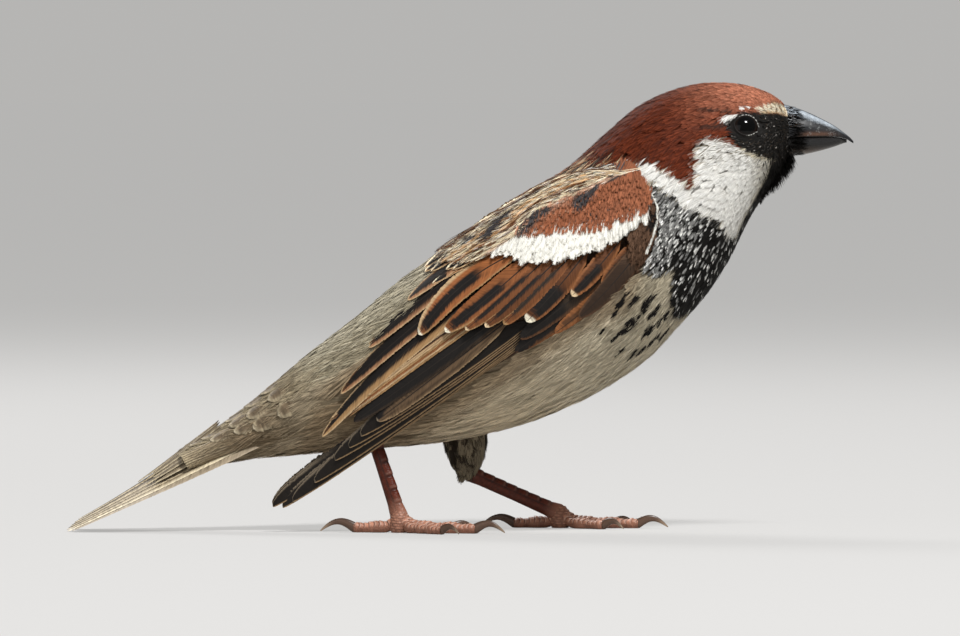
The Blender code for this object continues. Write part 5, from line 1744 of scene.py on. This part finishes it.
def shank(leg):
    """The bare leg from ankle to foot, with a groove between its plates and its smooth sides."""
    ankle, foot = np.array(leg["ankle"]), np.array(leg["foot"])
    share = np.linspace(-0.06, 1.02, 150)
    path = blend(ankle, foot, share[:, None])
    angles = circle(36)[None]
    size = np.interp(share, (-0.06, 0, 0.12, 0.5, 0.85, 1), (0.9, 1.08, 0.96, 0.92, 0.98, 1.2))[:, None]
    front = ease(0.15, 0.55, np.sin(angles))
    plate, joint = scutes(share[:, None], 8)
    groove = bell((np.sin(angles) - 0.12) / 0.1)
    rear = ease(-0.2, -0.9, np.sin(angles))
    relief = 1 + front * (0.075 * plate - 0.03 * joint) - 0.07 * groove + 0.05 * rear
    points = tube(path, 0.95 * size * relief, 1.3 * size * relief, angles)
    blotch = ripple(points[..., 0] * 3, points[..., 2] * 3, 1, 4)[..., None]
    # Painted shade in the groove; darker where the front plates meet and a little darker at the rear.
    shade = np.clip(0.9 * groove + 0.75 * front * joint + 0.25 * rear, 0, 1)[..., None]
    tint = blend(LEG_RED * (1 + 0.25 * blotch), LEG_DARK, shade)
    tint = blend(tint, FOOT_PINK * 0.7 + 0.3 * tint, ease(0.78, 1, share)[:, None, None])
    # The ends of the front plates are pale: partly their own pale horn, partly painted highlight.
    edge = (front * ease(0.75, 0.95, plate) * 0.2)[..., None]
    return closed_tube(points, blend(tint, PALE_SCALE_AND_HIGHLIGHT * 0.5, edge))


def toe(foot, heading, length, radius, joints, rng):
    """A toe that comes down from the palm, and where it ends, its way and its radius there."""
    share = np.linspace(0, 1, 110)
    angles = circle(32)[None]
    size = radius * (1 - 0.2 * share) * (1 + 0.1 * np.cos(share * joints * TURN))
    low = size * 0.84
    arch = 0.2 * np.abs(np.sin(share * joints * math.pi)) * (1 - share)
    height = low + (foot[2] - low) * np.maximum(0, 1 - share / 0.34) ** 2 + arch
    way = np.array([math.cos(heading), math.sin(heading), 0])
    path = np.array(foot) * (1, 1, 0) + way * length * share[:, None] + np.array((0, 0, 1)) * height[:, None]
    # A row of plates of uneven height above, pads below.
    skewed, count = share[:, None] + 0.02 * np.sin(angles * 3), int(length * 1.15)
    plate, joint = scutes(skewed, count)
    uneven = rng.uniform(0.6, 1.5, count + 2)[(skewed * count).astype(int) + 1]
    top = ease(-0.05, 0.35, np.sin(angles))
    pads = ease(0, -0.5, np.sin(angles)) * np.cos(share[:, None] * joints * TURN)
    grit = rng.normal(0, 0.012, (len(share), angles.size)) * (1 - top)
    relief = 1 + top * (0.12 * plate * uneven - 0.07 * joint) + 0.08 * pads + grit
    taper = np.interp(share, (0, 0.93, 1), (1, 1, 0.72))[:, None]
    across = size[:, None] * relief * taper
    points = tube(path, across, across, angles)
    points[..., 2] = np.maximum(points[..., 2], GROUND_GAP)
    shade = np.clip(top * joint * 0.85 + 0.35 * (1 - top), 0, 1)[..., None]
    tint = FOOT_PINK * (1 + 0.075 * rng.normal(0, 1, (len(share), 1, 1))) * (0.55 + 0.45 * uneven)[..., None]
    # The ends of the plates above are pale: partly their own pale horn, partly painted highlight.
    edge = (top * ease(0.7, 0.95, plate) * 0.5)[..., None]
    tint = blend(blend(tint, LEG_RED * 0.55, shade), PALE_SCALE_AND_HIGHLIGHT, edge)
    return closed_tube(points, tint), path[-1], way, size[-1]


def joined(parts):
    """Several tubes as one shape, each on its own strip of the unwrap."""
    count, out = 0, ([], [], [], [])
    for k, (points, faces, tint, uv) in enumerate(parts):
        for store, part in zip(out, (points, faces + count, tint,
                                     (uv * (1, 0.94) + (0, k)) / (1, len(parts)))):
            store.append(part)
        count += len(points)
    points, faces, tint, uv = (np.vstack(store) for store in out)
    return points, faces, tint.clip(0, 1), uv


def palm(foot):
    """The pebbled pad where the toes meet the shank."""
    height = np.linspace(-2.45, 1.3, 64)
    angles = circle(72)[None]
    size = 1.75 * np.interp(height, (-2.45, -1.8, -0.7, 0.3, 1.3), (0.8, 1, 1.02, 0.88, 0.55))[:, None]
    row = height[:, None] / 0.46 + 0.12 * np.sin(angles * 3)
    turned = angles * (5 + 0.9 * np.sin(np.floor(row) * 2.3)) + np.floor(row) * 1.9 + 0.5 * np.sin(angles * 2)
    pebble = np.abs(np.sin(turned)) ** 0.4 * np.abs(np.sin(row * math.pi)) ** 0.4
    bumps = size * (0.97 + 0.06 * pebble)
    level = np.maximum(foot[2] + height[:, None], GROUND_GAP) + 0 * angles
    points = np.stack([foot[0] + np.cos(angles) * bumps, foot[1] + np.sin(angles) * bumps, level], -1)
    pale = ease(0.55, 1, pebble)[..., None]
    return closed_tube(points, blend(FOOT_PINK * 0.62, FOOT_PINK * 0.95, pale))


def claw(base, way, length, radius):
    """A curved, ridged horn from the toe's end to the ground."""
    share = np.linspace(-0.05, 1, 40)
    angles = circle(18)[None]
    made = np.clip(share, 0, 1)
    rise = 0.19 * length * np.sin(made * math.pi) - max(0, base[2] - 0.22) * made**1.6
    path = base + way * (length * 0.93 * share)[:, None] + np.array((0, 0, 1)) * rise[:, None]
    thin = np.clip(1 - share, 0, 1)[:, None]
    ridge = 1 + 0.1 * ease(0.7, 1, np.sin(angles)) - 0.12 * bell((np.sin(angles) + 0.25) / 0.22)
    points = tube(path, (radius * 0.72 * thin + 0.05) * ridge, (radius * 0.98 * thin**0.8 + 0.07) * ridge,
                  angles)
    points[..., 2] = np.maximum(points[..., 2], 0.02)
    tint = blend((0.12, 0.07, 0.048), (0.36, 0.26, 0.18), ease(0.55, 1, share)[:, None, None])
    return closed_tube(points, tint * (1 - 0.45 * ease(0.2, 0.9, np.sin(angles))[..., None]))


# The pebbled relief of horny skin.
pebbles, given, out = effect("pebbles", (("Scale", "NodeSocketFloat"), ("Strength", "NodeSocketFloat")),
                             (("Normal", "NodeSocketVector"),))
place, cells = add(pebbles, "TexCoord"), add(pebbles, "TexVoronoi")
bump = add(pebbles, "Bump", {"Distance": 0.0001})
wire(pebbles, (given, "Scale", cells, "Scale"), (given, "Strength", bump, "Strength"),
     (place, "Object", cells, "Vector"), (cells, "Distance", bump, "Height"), (bump, "Normal", out, "Normal"))


def skin_finish(name, roughness, scale, strength):
    """Horny skin coloured by its own points."""
    material, tree, shader = new_material(name, roughness, 0.3)
    colour = add(tree, "Attribute", attribute_name="plumage")
    relief = add(tree, "Group", {"Scale": scale, "Strength": strength}, node_tree=pebbles)
    wire(tree, (colour, "Color", shader, "Base Color"), (relief, "Normal", shader, "Normal"))
    return material


scale_material = skin_finish("leg skin", 0.42, 3200, 0.5)
claw_material = skin_finish("claw horn", 0.3, 900, 0.1)
rng = np.random.default_rng(11)
for letter, leg in LEGS.items():
    parts = [palm(leg["foot"])]
    for toe_name, (turn, length, radius, joints, claw_length) in TOES.items():
        heading = math.radians(leg["points"] + leg["side"] * turn)
        part, end, way, size = toe(leg["foot"], heading, length, radius, joints, rng)
        parts.append(part)
        claw_name = f"claw_{toe_name}_{letter}"
        show(claw_name, "claw_horn", claw_material, claw(end, way, claw_length, size * 0.8), (claw_name,))
    show(f"foot_{letter}", "leg_skin", scale_material, joined(parts), (f"foot_{letter}",))
    show(f"shank_{letter}", "leg_skin", scale_material, shank(leg), (f"tarsus_{letter}",))


# ---- The stage ----
# A plain pale floor that runs out of sight, under soft studio light from above, seen level from the right.

FLOOR_REACH = 60 / MM
FLOOR_DROP = 0.02
corners = [(x * FLOOR_REACH, y * FLOOR_REACH, -FLOOR_DROP) for x, y in ((-1, -1), (1, -1), (1, 1), (-1, 1))]
floor = bpy.data.objects.new("floor", make_mesh("floor", corners, [(0, 1, 2, 3)]))
bpy.context.scene.collection.objects.link(floor)
# The camera sees it evenly pale, and the bird gets the light of white ground from below.
floor_material, tree, shader = new_material("studio floor", 0.9, 0)
give(shader, {"Emission Color": (0.42, 0.415, 0.405, 1)})
rays = add(tree, "LightPath")
ground = add(tree, "Mix", data_type="RGBA")
give(ground, {"A": (0.47, 0.455, 0.43, 1), "B": (0.22, 0.217, 0.214, 1)})
wire(tree, (rays, "Is Camera Ray", ground, "Factor"), (ground, "Result", shader, "Base Color"),
     (rays, "Is Camera Ray", shader, "Emission Strength"))
floor.data.materials.append(floor_material)

world = bpy.data.worlds.new("studio")
world.use_nodes = True
tree = world.node_tree
shown = tree.nodes["Background"]
give(shown, {"Color": (0.468, 0.463, 0.453, 1)})
lighting = add(tree, "Background", {"Color": (0.95, 0.97, 1, 1), "Strength": 0.22})
rays, choice = add(tree, "LightPath"), add(tree, "MixShader")
wire(tree, (rays, "Is Camera Ray", choice, "Fac"), (lighting, "Background", choice, 1),
     (shown, "Background", choice, 2),
     (choice, "Shader", tree.nodes["World Output"], "Surface"))
bpy.context.scene.world = world
bpy.context.scene.view_settings.view_transform = "Standard"


def aim(thing, place, target):
    """Puts a light or camera at a place and turns it to a target."""
    thing.location = place
    thing.rotation_euler = (Vector(target) - Vector(place)).to_track_quat("-Z", "Y").to_euler()
    bpy.context.scene.collection.objects.link(thing)


for name, place, size, power in (
    ("key", (0.36, -0.66, 1.2), 0.26, 23),
    ("fill", (-0.9, -1.1, 0.5), 0.9, 2.4),
    ("rim", (-0.35, 0.8, 0.9), 0.5, 9),
):
    light = bpy.data.objects.new(name, bpy.data.lights.new(name, "AREA"))
    light.data.size = size
    light.data.energy = power
    aim(light, place, (0, 0, 0.035))

DISTANCE = 2
ELEVATION = math.radians(1.3)
look_at = Vector((0.00404, 0, 0.0366))
camera = bpy.data.objects.new("camera", bpy.data.cameras.new("camera"))
camera.data.lens = 436
camera.data.clip_end = 20
aim(camera, look_at + Vector((0, -math.cos(ELEVATION), math.sin(ELEVATION))) * DISTANCE, look_at)
bpy.context.scene.camera = camera
